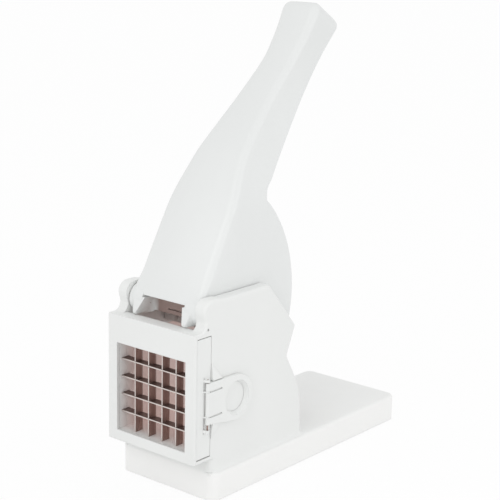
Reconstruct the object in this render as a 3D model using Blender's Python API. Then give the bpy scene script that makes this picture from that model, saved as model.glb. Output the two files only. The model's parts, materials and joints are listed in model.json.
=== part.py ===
"""French fry cutter: a moulded stand, a swinging lever with a studded pusher, and a blade
cassette that slides out sideways by a folding pull ring.

The front faces -Y, the pull ring is on +X and +Z is up. The origin is on the table, under
the middle of the overall length and width.
"""
import math

import bmesh
import bpy
from mathutils import Matrix, Vector

MM = 0.001

# Fits
GAP = 0.3 * MM
OVERRUN = 4.0 * MM

# Cutting grid
CELLS = 5
CELL_PITCH = 12.7 * MM
BLADE_THICKNESS = 0.8 * MM
BLADE_DEPTH = 7.5 * MM
BLADE_EMBED = 4.0 * MM
BLADE_BEVEL = 1.2 * MM
BLADE_EDGE_SHARE = 0.25

# Front frame round the window
SIDE_MARGIN = 8.55 * MM
SILL = 7.6 * MM
HEAD = 19.9 * MM
FACE = 2.2 * MM
TOP_BAR = 3.2 * MM
BOTTOM_LIP = 2.6 * MM
BLIND_WALL = 4.3 * MM
EDGE_ROUND = 1.0 * MM
CORNER_ROUND = 5.0 * MM
FLOOR_STEP = 0.8 * MM

# Blade cassette
CASSETTE_DEPTH = 13.2 * MM
BLADE_SETBACK = 2.3 * MM
END_WALL = 4.0 * MM

# Side walls and hub ears
WALL = 8.8 * MM
WALL_ROUND = 2.2 * MM
PIVOT_BACK = 5.0 * MM
PIVOT_RISE = 9.2 * MM
EAR_REACH = 12.0 * MM
EAR_RISE = 11.4 * MM
EAR_ROUND = 7.6 * MM
EAR_FLARE = 5.5 * MM
EAR_BACK = 3.0 * MM
EAR_STEP = 4.0 * MM
EAR_PROUD = 1.1 * MM
NECK_REACH = 10.4 * MM
PEAK_BACK = 55.5 * MM
SHOULDER_BACK = 86.3 * MM
SHOULDER_DROP = 35.3 * MM
SHOULDER_ROUND = 3.0 * MM
WAIST_BACK = 77.4 * MM
WAIST_DROP = 56.3 * MM
WAIST_ROUND = 4.0 * MM
HEEL_BACK = 96.0 * MM
HEEL_BULGE = 6.0 * MM

# Base
FOOT_PROUD = 1.0 * MM
BASE_HEIGHT = 20.0 * MM
BASE_LENGTH = 220.0 * MM
BASE_LEDGE = 3.4 * MM
BASE_CORNER = 7.0 * MM
BASE_ROUND = 2.5 * MM
FRAME_RISE = 10.0 * MM
SKIRT = 6.0 * MM
SHELL = 3.0 * MM
COVER_THICKNESS = 2.5 * MM
COVER_RIM = 2.7 * MM
BOSS_RADIUS = 4.5 * MM
BOSS_INSET = 14.0 * MM
SCREW_RADIUS = 1.5 * MM
SCREW_LENGTH = 10.0 * MM
SCREW_HEAD_RADIUS = 2.9 * MM
SCREW_HEAD = 1.6 * MM
FOOT_RADIUS = 7.0 * MM
FOOT_SINK = 1.2 * MM
FOOT_INSET = 26.0 * MM

# Hub and pivot pins
BARREL_CLEARANCE = 0.45 * MM
BARREL_SIDE_GAP = 0.5 * MM
PIN_RADIUS = 3.0 * MM
PIN_SOCKET = 7.0 * MM
CHEEK_INNER = 16.0 * MM
CHEEK_OUTER = 23.5 * MM
CHEEK_BLEND = 3.5 * MM
CHEEK_ROUND = 1.6 * MM
WINDOW_HEAD = 4.6 * MM
WINDOW_HEAD_HALF = 16.6 * MM
WINDOW_FOOT_HALF = 21.9 * MM
TOE_REACH = 14.6 * MM
BARREL_INNER = 19.3 * MM

# Lever
LEVER_REACH = 230.0 * MM
LEVER_CLEARANCE = 0.6 * MM
LEVER_SHELL = 2.8 * MM
LEVER_FRONT_OFFSET = 9.2 * MM
LEVER_EDGE = 6.0 * MM
LEVER_BACK_EDGE = 1.2 * MM
LEVER_SMALL_EDGE = 1.5 * MM
LEVER_TIP_ROUND = 7.0 * MM
LEVER_CROWN = 3.2 * MM
BELLY_CLEARANCE = 0.4 * MM
MOUTH_START = 12.5 * MM
OPEN_ANGLE = math.radians(68.0)
WEB_TURN = math.radians(50.0)
BELLY_MARGIN = math.radians(2.0)
WEB_CLEARANCE = 3.1 * MM
RELIEF_SHARE = 0.3
RELIEF_WIDTH = 16.0 * MM
RELIEF_HEIGHT = 1.4 * MM
FRONT_PROFILE_SHARES = ((0.037, 0.151), (0.110, 0.282), (0.179, 0.399), (0.2285, 0.4605), (0.359, 0.590),
                        (0.455, 0.683), (0.507, 0.748), (0.539, 0.796), (0.565, 0.843))
NECK_SHARES = ((0.695, 0.717), (0.701, 0.769), (0.725, 0.815), (0.769, 0.853))
BACK_END_SHARES = (0.682, 0.773)
FRONT_NECK_SHARE = 0.375
WIDTH_SHARES = ((0.0, 1.0), (0.24, 0.965), (0.31, 0.92), (0.40, 0.77), (0.51, 0.61), (0.60, 0.51),
                (0.69, 0.465), (0.77, 0.495), (0.83, 0.525))
CROWN_SHARES = (-0.5, 0.0, 0.5)
BELLY_STEPS = 11
HANDLE_STEPS = 11
EDGE_GROW_STEPS = 3

# Pusher
STUD_CLEARANCE = 0.75 * MM
STUD_TAPER = 0.3 * MM
STUD_ENTRY = 2.3 * MM
PUSHER_PLATE = 3.0 * MM
SPIGOT = 3.0 * MM
SPIGOT_MARGIN = 1.8 * MM

# Pull ring and its hinge
RING_RADIUS = 16.3 * MM
RING_HOLE = 12.0 * MM
RING_THICKNESS = 2.4 * MM
RING_EDGE = 0.7 * MM
RING_BACK = 30.4 * MM
RING_LIFT = 0.8 * MM
KNUCKLE_RADIUS = 1.5 * MM
SLIT_BACK = 14.2 * MM
SLIT_OFFSET = 9.1 * MM
LUG = 1.0 * MM
END_LUG = 2.2 * MM
HINGE_PIN_RADIUS = 0.6 * MM
SLOT_WIDTH = 1.4 * MM
SLOT_DEPTH = 1.6 * MM
WEDGE_HEIGHT = 12.0 * MM
WEDGE_LENGTH = 9.4 * MM
WEDGE_PROUD = 1.0 * MM
WEDGE_TOE = 0.3 * MM

# Derived places, measured from the front face (Y) and the table (Z)
WINDOW = CELLS * CELL_PITCH
HALF_WINDOW = WINDOW / 2
HALF_FRONT = HALF_WINDOW + SIDE_MARGIN
BASE_TOP = FOOT_PROUD + BASE_HEIGHT
FRAME_BOTTOM = BASE_TOP + FRAME_RISE
WINDOW_BOTTOM = FRAME_BOTTOM + SILL
WINDOW_TOP = WINDOW_BOTTOM + WINDOW
WINDOW_MIDDLE = WINDOW_BOTTOM + HALF_WINDOW
FRAME_TOP = WINDOW_TOP + HEAD
SLOT_BOTTOM = FRAME_BOTTOM + BOTTOM_LIP
SLOT_TOP = FRAME_TOP - TOP_BAR
CASSETTE_FRONT = FACE + GAP
CASSETTE_BACK = CASSETTE_FRONT + CASSETTE_DEPTH
FRAME_DEPTH = CASSETTE_BACK + GAP
CASSETTE_SEAM = CASSETTE_FRONT + CASSETTE_DEPTH / 2
BLADE_FRONT = CASSETTE_FRONT + BLADE_SETBACK
BLADE_BACK = BLADE_FRONT + BLADE_DEPTH
PIVOT_Y = FRAME_DEPTH + PIVOT_BACK
PIVOT_Z = FRAME_TOP + PIVOT_RISE
EAR_TOP = PIVOT_Z + EAR_RISE
WALL_TOP = EAR_TOP - EAR_PROUD
HALF_CHANNEL = HALF_FRONT - WALL
FLOOR = WINDOW_BOTTOM - FLOOR_STEP
HALF_BASE = HALF_FRONT + BASE_LEDGE
OVERALL_LENGTH = FRAME_DEPTH + BASE_LENGTH
FRONT_Y = -OVERALL_LENGTH / 2
BELLY_RADIUS = PIVOT_Z - FLOOR - BELLY_CLEARANCE
BARREL_RADIUS = math.hypot(PIVOT_BACK, PIVOT_RISE) - BARREL_CLEARANCE
HALF_LEVER = HALF_CHANNEL - LEVER_CLEARANCE
MOUTH_ANGLE = OPEN_ANGLE - math.pi / 2
HINGE_X = HALF_FRONT + GAP + KNUCKLE_RADIUS
HINGE_Y = CASSETTE_SEAM + GAP + KNUCKLE_RADIUS
HINGE_Z = WINDOW_MIDDLE + RING_LIFT
BORE_RADIUS = HINGE_PIN_RADIUS + GAP

# Looks: colour, roughness, metallic value
WHITE_PLASTIC = ((0.86, 0.87, 0.86), 0.42, 0.0)
GREY_RUBBER = ((0.30, 0.30, 0.31), 0.85, 0.0)
BRIGHT_STEEL = ((0.62, 0.60, 0.58), 0.28, 1.0)

SHARP_ANGLE = math.radians(35.0)
ROUND_SEGMENTS = 32
SMALL_SEGMENTS = 12
CORNER_STEPS = 4
BACK_STEPS = 6
SPLINE_STEPS = 8
RING_STEPS = 16
RIM_SEGMENTS = 3
RING_SEGMENTS = 2


# Scene, materials and mesh helpers

def clear_scene():
    for item in list(bpy.data.objects):
        bpy.data.objects.remove(item, do_unlink=True)


def make_material(name, look):
    """Material of one sub-part; the look holds its colour, roughness and metallic value."""
    colour, roughness, metallic = look
    material = bpy.data.materials.new(name)
    material.use_nodes = True
    shader = material.node_tree.nodes["Principled BSDF"]
    shader.inputs["Base Color"].default_value = (*colour, 1.0)
    shader.inputs["Roughness"].default_value = roughness
    shader.inputs["Metallic"].default_value = metallic
    return material


def make_empty(name, parent, location):
    item = bpy.data.objects.new(name, None)
    item.location = location
    item.parent = parent
    bpy.context.collection.objects.link(item)
    return item


def make_object(bm, name, parent, look=None, location=(0, 0, 0)):
    """Turns a bmesh into an object; without a look it is a hidden helper solid."""
    bmesh.ops.recalc_face_normals(bm, faces=bm.faces)
    mesh = bpy.data.meshes.new(name)
    bm.to_mesh(mesh)
    bm.free()
    item = bpy.data.objects.new(name, mesh)
    item.parent = parent
    item.location = location
    bpy.context.collection.objects.link(item)
    if look is None:
        item.hide_render = True
        item.display_type = "WIRE"
    else:
        mesh.materials.append(make_material(name + "_surface", look))
        mesh.shade_smooth()
        mesh.set_sharp_from_angle(angle=SHARP_ANGLE)
    return item


def combine(target, helper, operation):
    modifier = target.modifiers.new(helper.name, "BOOLEAN")
    modifier.operation = operation
    modifier.solver = "EXACT"
    modifier.object = helper


def add_box(bm, low, high):
    low, high = Vector(low), Vector(high)
    scale = Matrix.Diagonal((*(high - low), 1))
    return bmesh.ops.create_cube(bm, size=1, matrix=Matrix.Translation((low + high) / 2) @ scale)["verts"]


def add_prism(bm, outline, x_low, x_high):
    """Extrudes a (y, z) outline along X."""
    face = bm.faces.new([bm.verts.new((x_low, y, z)) for y, z in outline])
    moved = bmesh.ops.extrude_face_region(bm, geom=[face])["geom"]
    verts = [item for item in moved if isinstance(item, bmesh.types.BMVert)]
    bmesh.ops.translate(bm, verts=verts, vec=(x_high - x_low, 0, 0))
    return face, [item for item in moved if isinstance(item, bmesh.types.BMFace)][0]


def add_slab(bm, outline, z_low, z_high):
    """Extrudes an (x, y) outline along Z."""
    face = bm.faces.new([bm.verts.new((x, y, z_low)) for x, y in outline])
    moved = bmesh.ops.extrude_face_region(bm, geom=[face])["geom"]
    verts = [item for item in moved if isinstance(item, bmesh.types.BMVert)]
    bmesh.ops.translate(bm, verts=verts, vec=(0, 0, z_high - z_low))
    return face, [item for item in moved if isinstance(item, bmesh.types.BMFace)][0]


def add_cylinder_x(bm, radius, x_low, x_high, y, z, segments=ROUND_SEGMENTS):
    turn = Matrix.Rotation(math.pi / 2, 4, "Y")
    place = Matrix.Translation(((x_low + x_high) / 2, y, z))
    bmesh.ops.create_cone(bm, cap_ends=True, segments=segments, radius1=radius, radius2=radius,
                          depth=x_high - x_low, matrix=place @ turn)


def add_cylinder_z(bm, radius, x, y, z_low, z_high, segments=SMALL_SEGMENTS):
    place = Matrix.Translation((x, y, (z_low + z_high) / 2))
    bmesh.ops.create_cone(bm, cap_ends=True, segments=segments, radius1=radius, radius2=radius,
                          depth=z_high - z_low, matrix=place)


def add_loft(bm, rings):
    """Skins closed rings of equal length and caps both ends."""
    loops = [[bm.verts.new(point) for point in ring] for ring in rings]
    count = len(loops[0])
    for low, high in zip(loops, loops[1:]):
        for i in range(count):
            j = (i + 1) % count
            bm.faces.new((low[i], low[j], high[j], high[i]))
    bm.faces.new(loops[0])
    bm.faces.new(loops[-1])


def arc(centre, radius, start, end, steps=CORNER_STEPS):
    """Points on a circle from the start angle to the end angle, in radians."""
    angles = [start + (end - start) * i / steps for i in range(steps + 1)]
    return [(centre[0] + radius * math.cos(a), centre[1] + radius * math.sin(a)) for a in angles]


def rounded_rectangle(low, high, radius):
    (x0, y0), (x1, y1) = low, high
    quarter = math.pi / 2
    corners = ((x1 - radius, y0 + radius, -quarter), (x1 - radius, y1 - radius, 0),
               (x0 + radius, y1 - radius, quarter), (x0 + radius, y0 + radius, 2 * quarter))
    return [point for x, y, start in corners for point in arc((x, y), radius, start, start + quarter)]


def round_corner(before, corner, after, radius, steps=CORNER_STEPS):
    """Replaces a corner between two straight runs by an arc of the given radius."""
    before, corner, after = Vector(before), Vector(corner), Vector(after)
    u, v = (before - corner).normalized(), (after - corner).normalized()
    half = u.angle(v) / 2
    centre = corner + (u + v).normalized() * (radius / math.sin(half))
    reach = radius / math.tan(half)
    first, last = corner + u * reach - centre, corner + v * reach - centre
    turn = first.angle_signed(last)
    return [tuple(centre + Matrix.Rotation(-turn * i / steps, 2) @ first) for i in range(steps + 1)]


def spline(points, steps):
    """Smooth curve through the points, with straight phantom ends."""
    points = [Vector(p) for p in points]
    points = [2 * points[0] - points[1]] + points + [2 * points[-1] - points[-2]]
    curve = []
    for a, b, c, d in zip(points, points[1:], points[2:], points[3:]):
        for i in range(steps):
            t = i / steps
            curve.append(((2 * b) + (c - a) * t + (2 * a - 5 * b + 4 * c - d) * t ** 2
                          + (3 * b - a - 3 * c + d) * t ** 3) / 2)
    return curve + [points[-2]]


def at_share(path, share):
    """Point at a share of a polyline's length."""
    lengths = [(b - a).length for a, b in zip(path, path[1:])]
    left = share * sum(lengths)
    for a, b, length in zip(path, path[1:], lengths):
        if left <= length:
            return a + (b - a) * (left / length)
        left -= length
    return path[-1]


# Stand

def side_outline():
    """Side view of the stand above its base: frame, flare, ear, wall top, shoulder, waist and heel."""
    neck, front = PIVOT_Y - NECK_REACH, PIVOT_Y - EAR_REACH
    peak = (PIVOT_Y + PEAK_BACK, WALL_TOP)
    shoulder = (PIVOT_Y + SHOULDER_BACK, WALL_TOP - SHOULDER_DROP)
    waist = (PIVOT_Y + WAIST_BACK, WALL_TOP - WAIST_DROP)
    heel = (PIVOT_Y + HEEL_BACK, BASE_TOP)
    middle = ((waist[0] + heel[0]) / 2 + HEEL_BULGE, (waist[1] + heel[1]) / 2 + HEEL_BULGE / 2)
    back = [tuple(p) for p in spline((waist, middle, heel), BACK_STEPS)]
    outline = [(0, FRAME_BOTTOM), (0, FRAME_TOP)]
    outline += arc((neck - EAR_FLARE, FRAME_TOP + EAR_FLARE), EAR_FLARE, -math.pi / 2, 0)
    outline += arc((front + EAR_ROUND, EAR_TOP - EAR_ROUND), EAR_ROUND, math.pi, math.pi / 2,
                   2 * CORNER_STEPS)
    outline += [(PIVOT_Y + EAR_BACK, EAR_TOP), (PIVOT_Y + EAR_BACK + EAR_STEP, WALL_TOP)]
    outline += round_corner(outline[-1], peak, shoulder, SHOULDER_ROUND)
    outline += round_corner(peak, shoulder, waist, SHOULDER_ROUND)
    outline += round_corner(shoulder, waist, back[1], WAIST_ROUND)
    outline += back[2:]
    return outline + [(heel[0], BASE_TOP - BASE_ROUND), (FRAME_DEPTH, BASE_TOP - BASE_ROUND),
                      (FRAME_DEPTH, FRAME_BOTTOM)]


def edge_radius(point):
    """Rounding of the side form's rim: small on the frame, growing up the flare to that of the walls."""
    if point[0] > PIVOT_Y:
        return WALL_ROUND
    grow = min(max((point[1] - FRAME_TOP) / EAR_FLARE, 0), 1)
    return EDGE_ROUND + (WALL_ROUND - EDGE_ROUND) * grow


def inset_outline(outline, amounts):
    """Moves each corner of a closed outline inwards by its own amount."""
    moved = []
    for i, amount in enumerate(amounts):
        before, point, after = (Vector(outline[(i + step) % len(outline)]) for step in (-1, 0, 1))
        sides = [Vector((way.y, -way.x)).normalized() for way in (point - before, after - point)]
        side = (sides[0] + sides[1]).normalized()
        moved.append(point + side * (amount / side.dot(sides[0])))
    return moved


def side_form(bm):
    """Solid of the frame and walls, with its outline drawn in round both of its rims."""
    outline = side_outline()
    radii = [edge_radius(point) for point in outline]
    half = []
    for i in range(CORNER_STEPS + 1):
        angle = math.pi / 2 * i / CORNER_STEPS
        points = inset_outline(outline, [radius * (1 - math.sin(angle)) for radius in radii])
        sides = [HALF_FRONT - radius * (1 - math.cos(angle)) for radius in radii]
        half.append([(x, *point) for x, point in zip(sides, points)])
    add_loft(bm, [[(-x, y, z) for x, y, z in ring] for ring in half] + half[::-1])


def base_solid(bm):
    """Base block with round upright corners and a rounded top rim."""
    outline = rounded_rectangle((-HALF_BASE, FRAME_DEPTH), (HALF_BASE, OVERALL_LENGTH), BASE_CORNER)
    _, top = add_slab(bm, outline, FOOT_PROUD, BASE_TOP)
    rim = [edge for edge in top.edges if max(v.co.y for v in edge.verts) > FRAME_DEPTH + GAP]
    bmesh.ops.bevel(bm, geom=rim, offset=BASE_ROUND, segments=RIM_SEGMENTS, profile=0.5, affect="EDGES")


def skirt_rings():
    """Concave fillet where the walls run out on the base top."""
    rings = []
    for i in range(CORNER_STEPS + 1):
        angle = math.pi / 2 * i / CORNER_STEPS
        spread = 1 - math.cos(angle)
        side = (BASE_LEDGE - BASE_ROUND / 2) * spread
        back = PIVOT_Y + HEEL_BACK + SKIRT * spread
        outline = rounded_rectangle((-HALF_FRONT - side, FRAME_DEPTH + EDGE_ROUND),
                                    (HALF_FRONT + side, back), CORNER_ROUND + side)
        height = BASE_TOP + SKIRT * (1 - math.sin(angle)) - GAP
        rings.append([(x, y, height) for x, y in outline])
    return rings


def corner_cuts(root):
    """Rounds the upright front corners of the block under the frame."""
    bm = bmesh.new()
    for side in (-1, 1):
        flat, face = HALF_FRONT - CORNER_ROUND, FRAME_DEPTH + CORNER_ROUND
        corner = arc((flat, face), CORNER_ROUND, -math.pi / 2, 0)
        corner += [(HALF_FRONT + OVERRUN, face), (HALF_FRONT + OVERRUN, FRAME_DEPTH - OVERRUN),
                   (flat, FRAME_DEPTH - OVERRUN)]
        add_slab(bm, [(side * x, y) for x, y in corner], BASE_TOP, FRAME_BOTTOM)
    return make_object(bm, "corner_cut", root)


def channel_outline():
    """Space between the walls: potato channel behind the frame, and hub space above the bar."""
    rear = PIVOT_Y + HEEL_BACK + OVERRUN + SKIRT
    top = EAR_TOP + OVERRUN
    return [(FRAME_DEPTH, FLOOR), (rear, FLOOR), (rear, top), (-OVERRUN, top), (-OVERRUN, FRAME_TOP),
            (FRAME_DEPTH, FRAME_TOP)]


def boss_places():
    x = HALF_BASE - BOSS_INSET
    return [(sx * x, y) for y in (FRAME_DEPTH + BOSS_INSET, OVERALL_LENGTH - BOSS_INSET) for sx in (-1, 1)]


def foot_places():
    x = HALF_BASE - BOSS_INSET
    inset = FOOT_INSET + BOSS_INSET
    return [(sx * x, y) for y in (FRAME_DEPTH + inset, OVERALL_LENGTH - inset) for sx in (-1, 1)]


def underside_hollow(root):
    """Hollow of the base and of the block under the channel, around the four screw bosses."""
    bm = bmesh.new()
    wall = COVER_RIM + SHELL
    low = FOOT_PROUD + COVER_THICKNESS
    outline = rounded_rectangle((-HALF_BASE + wall, FRAME_DEPTH + wall),
                                (HALF_BASE - wall, OVERALL_LENGTH - wall), BASE_CORNER / 2)
    add_slab(bm, outline, low, BASE_TOP - SHELL)
    hollow = make_object(bm, "underside_hollow", root)
    bm = bmesh.new()
    add_box(bm, (-HALF_CHANNEL, FRAME_DEPTH + wall, BASE_TOP - SHELL - GAP),
            (HALF_CHANNEL, PIVOT_Y + HEEL_BACK - WALL, FLOOR - SHELL))
    combine(hollow, make_object(bm, "block_hollow", root), "UNION")
    bm = bmesh.new()
    for x, y in boss_places():
        add_cylinder_z(bm, BOSS_RADIUS, x, y, low - OVERRUN, BASE_TOP)
    combine(hollow, make_object(bm, "boss_columns", root), "DIFFERENCE")
    return hollow


def make_stand(root, look):
    bm = bmesh.new()
    base_solid(bm)
    stand = make_object(bm, "stand", root, look)

    bm = bmesh.new()
    side_form(bm)
    combine(stand, make_object(bm, "side_form", root), "UNION")

    combine(stand, corner_cuts(root), "DIFFERENCE")

    bm = bmesh.new()
    add_loft(bm, skirt_rings())
    combine(stand, make_object(bm, "skirt_form", root), "UNION")

    bm = bmesh.new()
    add_prism(bm, channel_outline(), -HALF_CHANNEL, HALF_CHANNEL)
    combine(stand, make_object(bm, "channel_cut", root), "DIFFERENCE")

    bm = bmesh.new()
    add_box(bm, (-HALF_FRONT + BLIND_WALL, FACE, SLOT_BOTTOM),
            (HALF_FRONT + OVERRUN, FRAME_DEPTH, SLOT_TOP))
    combine(stand, make_object(bm, "slot_cut", root), "DIFFERENCE")

    bm = bmesh.new()
    add_box(bm, (-HALF_WINDOW, -OVERRUN, WINDOW_BOTTOM), (HALF_WINDOW, FACE + GAP, WINDOW_TOP))
    combine(stand, make_object(bm, "window_cut", root), "DIFFERENCE")

    bm = bmesh.new()
    for side in (-1, 1):
        ends = sorted((side * (HALF_CHANNEL - GAP), side * (HALF_CHANNEL + PIN_SOCKET)))
        add_cylinder_x(bm, PIN_RADIUS + GAP, *ends, PIVOT_Y, PIVOT_Z, 2 * SMALL_SEGMENTS)
    combine(stand, make_object(bm, "socket_cut", root), "DIFFERENCE")

    combine(stand, make_wedges(root), "UNION")

    combine(stand, underside_hollow(root), "DIFFERENCE")
    bm = bmesh.new()
    add_slab(bm, cover_outline(0), FOOT_PROUD - OVERRUN, FOOT_PROUD + COVER_THICKNESS + GAP)
    combine(stand, make_object(bm, "cover_recess", root), "DIFFERENCE")
    bm = bmesh.new()
    for x, y in boss_places():
        add_cylinder_z(bm, SCREW_RADIUS + GAP, x, y, FOOT_PROUD, FOOT_PROUD + SCREW_LENGTH + GAP)
    combine(stand, make_object(bm, "boss_bores", root), "DIFFERENCE")


def make_wedges(root):
    """Ramps on the right wall, above and below the root of the pull ring."""
    bm = bmesh.new()
    for side in (-1, 1):
        foot = HINGE_Z + side * (RING_RADIUS + GAP)
        add_wedge(bm, foot, side * WEDGE_HEIGHT, FRAME_DEPTH, FRAME_DEPTH + WEDGE_LENGTH)
    return make_object(bm, "wall_wedges", root)


def add_wedge(bm, foot, rise, y_low, y_high):
    sunk = HALF_FRONT - EDGE_ROUND
    points = [(x, y, foot) for x in (sunk, HALF_FRONT + WEDGE_PROUD) for y in (y_low, y_high)]
    points += [(x, y_low, foot + rise) for x in (sunk, HALF_FRONT + WEDGE_TOE)]
    bmesh.ops.convex_hull(bm, input=[bm.verts.new(point) for point in points])


# Cover, feet and screws under the base

def cover_outline(clearance):
    inset = COVER_RIM + clearance
    return rounded_rectangle((-HALF_BASE + inset, FRAME_DEPTH + inset),
                             (HALF_BASE - inset, OVERALL_LENGTH - inset), BASE_CORNER - inset)


def make_cover(root, look):
    bm = bmesh.new()
    add_slab(bm, cover_outline(GAP), FOOT_PROUD, FOOT_PROUD + COVER_THICKNESS)
    cover = make_object(bm, "base_cover", root, look)
    bm = bmesh.new()
    for x, y in boss_places():
        add_cylinder_z(bm, SCREW_RADIUS + GAP, x, y, FOOT_PROUD, FOOT_PROUD + COVER_THICKNESS + OVERRUN)
    combine(cover, make_object(bm, "screw_holes", root), "DIFFERENCE")
    bm = bmesh.new()
    for x, y in boss_places():
        add_cylinder_z(bm, SCREW_HEAD_RADIUS + GAP, x, y, FOOT_PROUD - OVERRUN, FOOT_PROUD + SCREW_HEAD)
    for x, y in foot_places():
        add_cylinder_z(bm, FOOT_RADIUS + GAP, x, y, FOOT_PROUD - OVERRUN, FOOT_PROUD + FOOT_SINK + GAP,
                       ROUND_SEGMENTS)
    combine(cover, make_object(bm, "head_and_foot_pockets", root), "DIFFERENCE")


def corner_names(stem):
    return [f"{stem}_{depth}_{side}" for depth in ("front", "rear") for side in ("left", "right")]


def make_feet(root, look):
    for name, (x, y) in zip(corner_names("foot"), foot_places()):
        bm = bmesh.new()
        add_cylinder_z(bm, FOOT_RADIUS, 0, 0, 0, FOOT_PROUD + FOOT_SINK, ROUND_SEGMENTS)
        make_object(bm, name, root, look, (x, y, 0))


def make_screws(root, look):
    for name, (x, y) in zip(corner_names("cover_screw"), boss_places()):
        bm = bmesh.new()
        add_cylinder_z(bm, SCREW_HEAD_RADIUS, 0, 0, 0, SCREW_HEAD - GAP)
        screw = make_object(bm, name, root, look, (x, y, FOOT_PROUD))
        bm = bmesh.new()
        add_cylinder_z(bm, SCREW_RADIUS, 0, 0, SCREW_HEAD / 2, SCREW_LENGTH)
        combine(screw, make_object(bm, name + "_shank", root, None, (x, y, FOOT_PROUD)), "UNION")


# Lever, modelled about its pivot in (y, z) with the lever standing open

def half_width(z):
    """Half the lever's width at a height above the pivot."""
    share = z / LEVER_REACH
    if share <= WIDTH_SHARES[0][0]:
        return HALF_LEVER
    path = spline(WIDTH_SHARES, BACK_STEPS)
    for a, b in zip(path, path[1:]):
        if share <= b.x:
            return HALF_LEVER * (a.y + (b.y - a.y) * (share - a.x) / (b.x - a.x))
    return HALF_LEVER * path[-1].y


def front_point(height):
    """Point of the lever's straight front at a height above the pivot."""
    a, b = (Vector(p) for p in FRONT_PROFILE_SHARES[:2])
    way = (b - a).normalized()
    foot = Vector((-way.y, way.x)) * LEVER_FRONT_OFFSET
    return foot + way * ((height - foot.y) / way.y)


def front_path():
    window_top = front_point(WINDOW_HEAD)
    points = [window_top] + [Vector(p) * LEVER_REACH for p in FRONT_PROFILE_SHARES]
    return spline(points, SPLINE_STEPS)


def lever_paths():
    """Matching points down the lever's front and back, from the mouth to the tip."""
    path = front_path()
    mouth = Vector((math.cos(MOUTH_ANGLE), math.sin(MOUTH_ANGLE)))
    web_turn = Matrix.Rotation(WEB_TURN, 2) @ (mouth * (PIN_RADIUS + WEB_CLEARANCE))
    fronts = [mouth * MOUTH_START, web_turn]
    fronts += [at_share(path, FRONT_NECK_SHARE * i / BELLY_STEPS) for i in range(BELLY_STEPS + 1)]
    fronts += [at_share(path, FRONT_NECK_SHARE + (1 - FRONT_NECK_SHARE) * i / HANDLE_STEPS)
               for i in range(1, HANDLE_STEPS + 1)]
    neck = [Vector(p) * BELLY_RADIUS for p in NECK_SHARES]
    belly_top = neck[0].angle_signed(Vector((1, 0))) - BELLY_MARGIN
    steps = BELLY_STEPS + 2 - len(neck)
    backs = [Vector(p) for p in arc((0, 0), BELLY_RADIUS, MOUTH_ANGLE, belly_top, steps)] + neck
    end = Vector(BACK_END_SHARES) * LEVER_REACH
    backs += [neck[-1].lerp(end, i / HANDLE_STEPS) for i in range(1, HANDLE_STEPS + 1)]
    return fronts, backs


def section(front, back, edge, back_edge, inset, crown):
    """Rounded, crowned cross-section of the lever between a front and a back point."""
    depth = (back - front).length
    way = (back - front) / depth
    wide, narrow = half_width(front.y) - inset, half_width(back.y) - inset
    edge = max(edge - inset, LEVER_SMALL_EDGE / 2)
    back_edge = max(back_edge - inset, LEVER_SMALL_EDGE / 2)
    quarter = math.pi / 2
    right = arc((wide - edge, edge), edge, -quarter, 0)
    right += arc((narrow - back_edge, depth - back_edge), back_edge, 0, quarter)
    flat = wide - edge
    middle = [(flat * share, -crown * (1 - share ** 2)) for share in CROWN_SHARES]
    ring = right + [(-x, d) for x, d in reversed(right)] + middle
    return [(x, front.x + way.x * d, front.y + way.y * d) for x, d in ring]


def lever_edges(index):
    """Edge radius and crown of a section: sharp at the web behind the hub, full on the front."""
    if index < 2:
        return LEVER_SMALL_EDGE, 0
    grow = min((index - 1) / EDGE_GROW_STEPS, 1)
    return LEVER_EDGE * grow, LEVER_CROWN * grow


def outer_sections():
    fronts, backs = lever_paths()
    rings = []
    for i, (front, back) in enumerate(zip(fronts, backs)):
        edge, crown = lever_edges(i)
        width_share = half_width(front.y) / HALF_LEVER
        rings.append(section(front, back, edge, LEVER_BACK_EDGE, 0, crown * width_share ** 2))
    way = (fronts[-1] - fronts[-2]).normalized()
    for i in range(1, CORNER_STEPS + 1):
        angle = math.pi / 2 * i / CORNER_STEPS
        inset = LEVER_TIP_ROUND * (1 - math.cos(angle))
        shift = way * LEVER_TIP_ROUND * math.sin(angle)
        depth_way = (backs[-1] - fronts[-1]).normalized()
        rings.append(section(fronts[-1] + shift + depth_way * inset, backs[-1] + shift - depth_way * inset,
                             LEVER_EDGE, LEVER_BACK_EDGE, inset, crown * width_share ** 2 * math.cos(angle)))
    return rings


def cavity_sections():
    """Hollow of the lever, one shell inside each section, open at the mouth."""
    fronts, backs = lever_paths()
    out = Vector((math.sin(MOUTH_ANGLE), -math.cos(MOUTH_ANGLE))) * OVERRUN
    pairs = [(fronts[0] + out, backs[0] + out)] + list(zip(fronts, backs))
    rings = []
    for i, (front, back) in enumerate(pairs):
        shell = (back - front).normalized() * LEVER_SHELL
        edge, crown = lever_edges(i - 1)
        crown *= (half_width(front.y) / HALF_LEVER) ** 2
        rings.append(section(front + shell, back - shell, edge, LEVER_BACK_EDGE, LEVER_SHELL, crown))
    return rings


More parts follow.
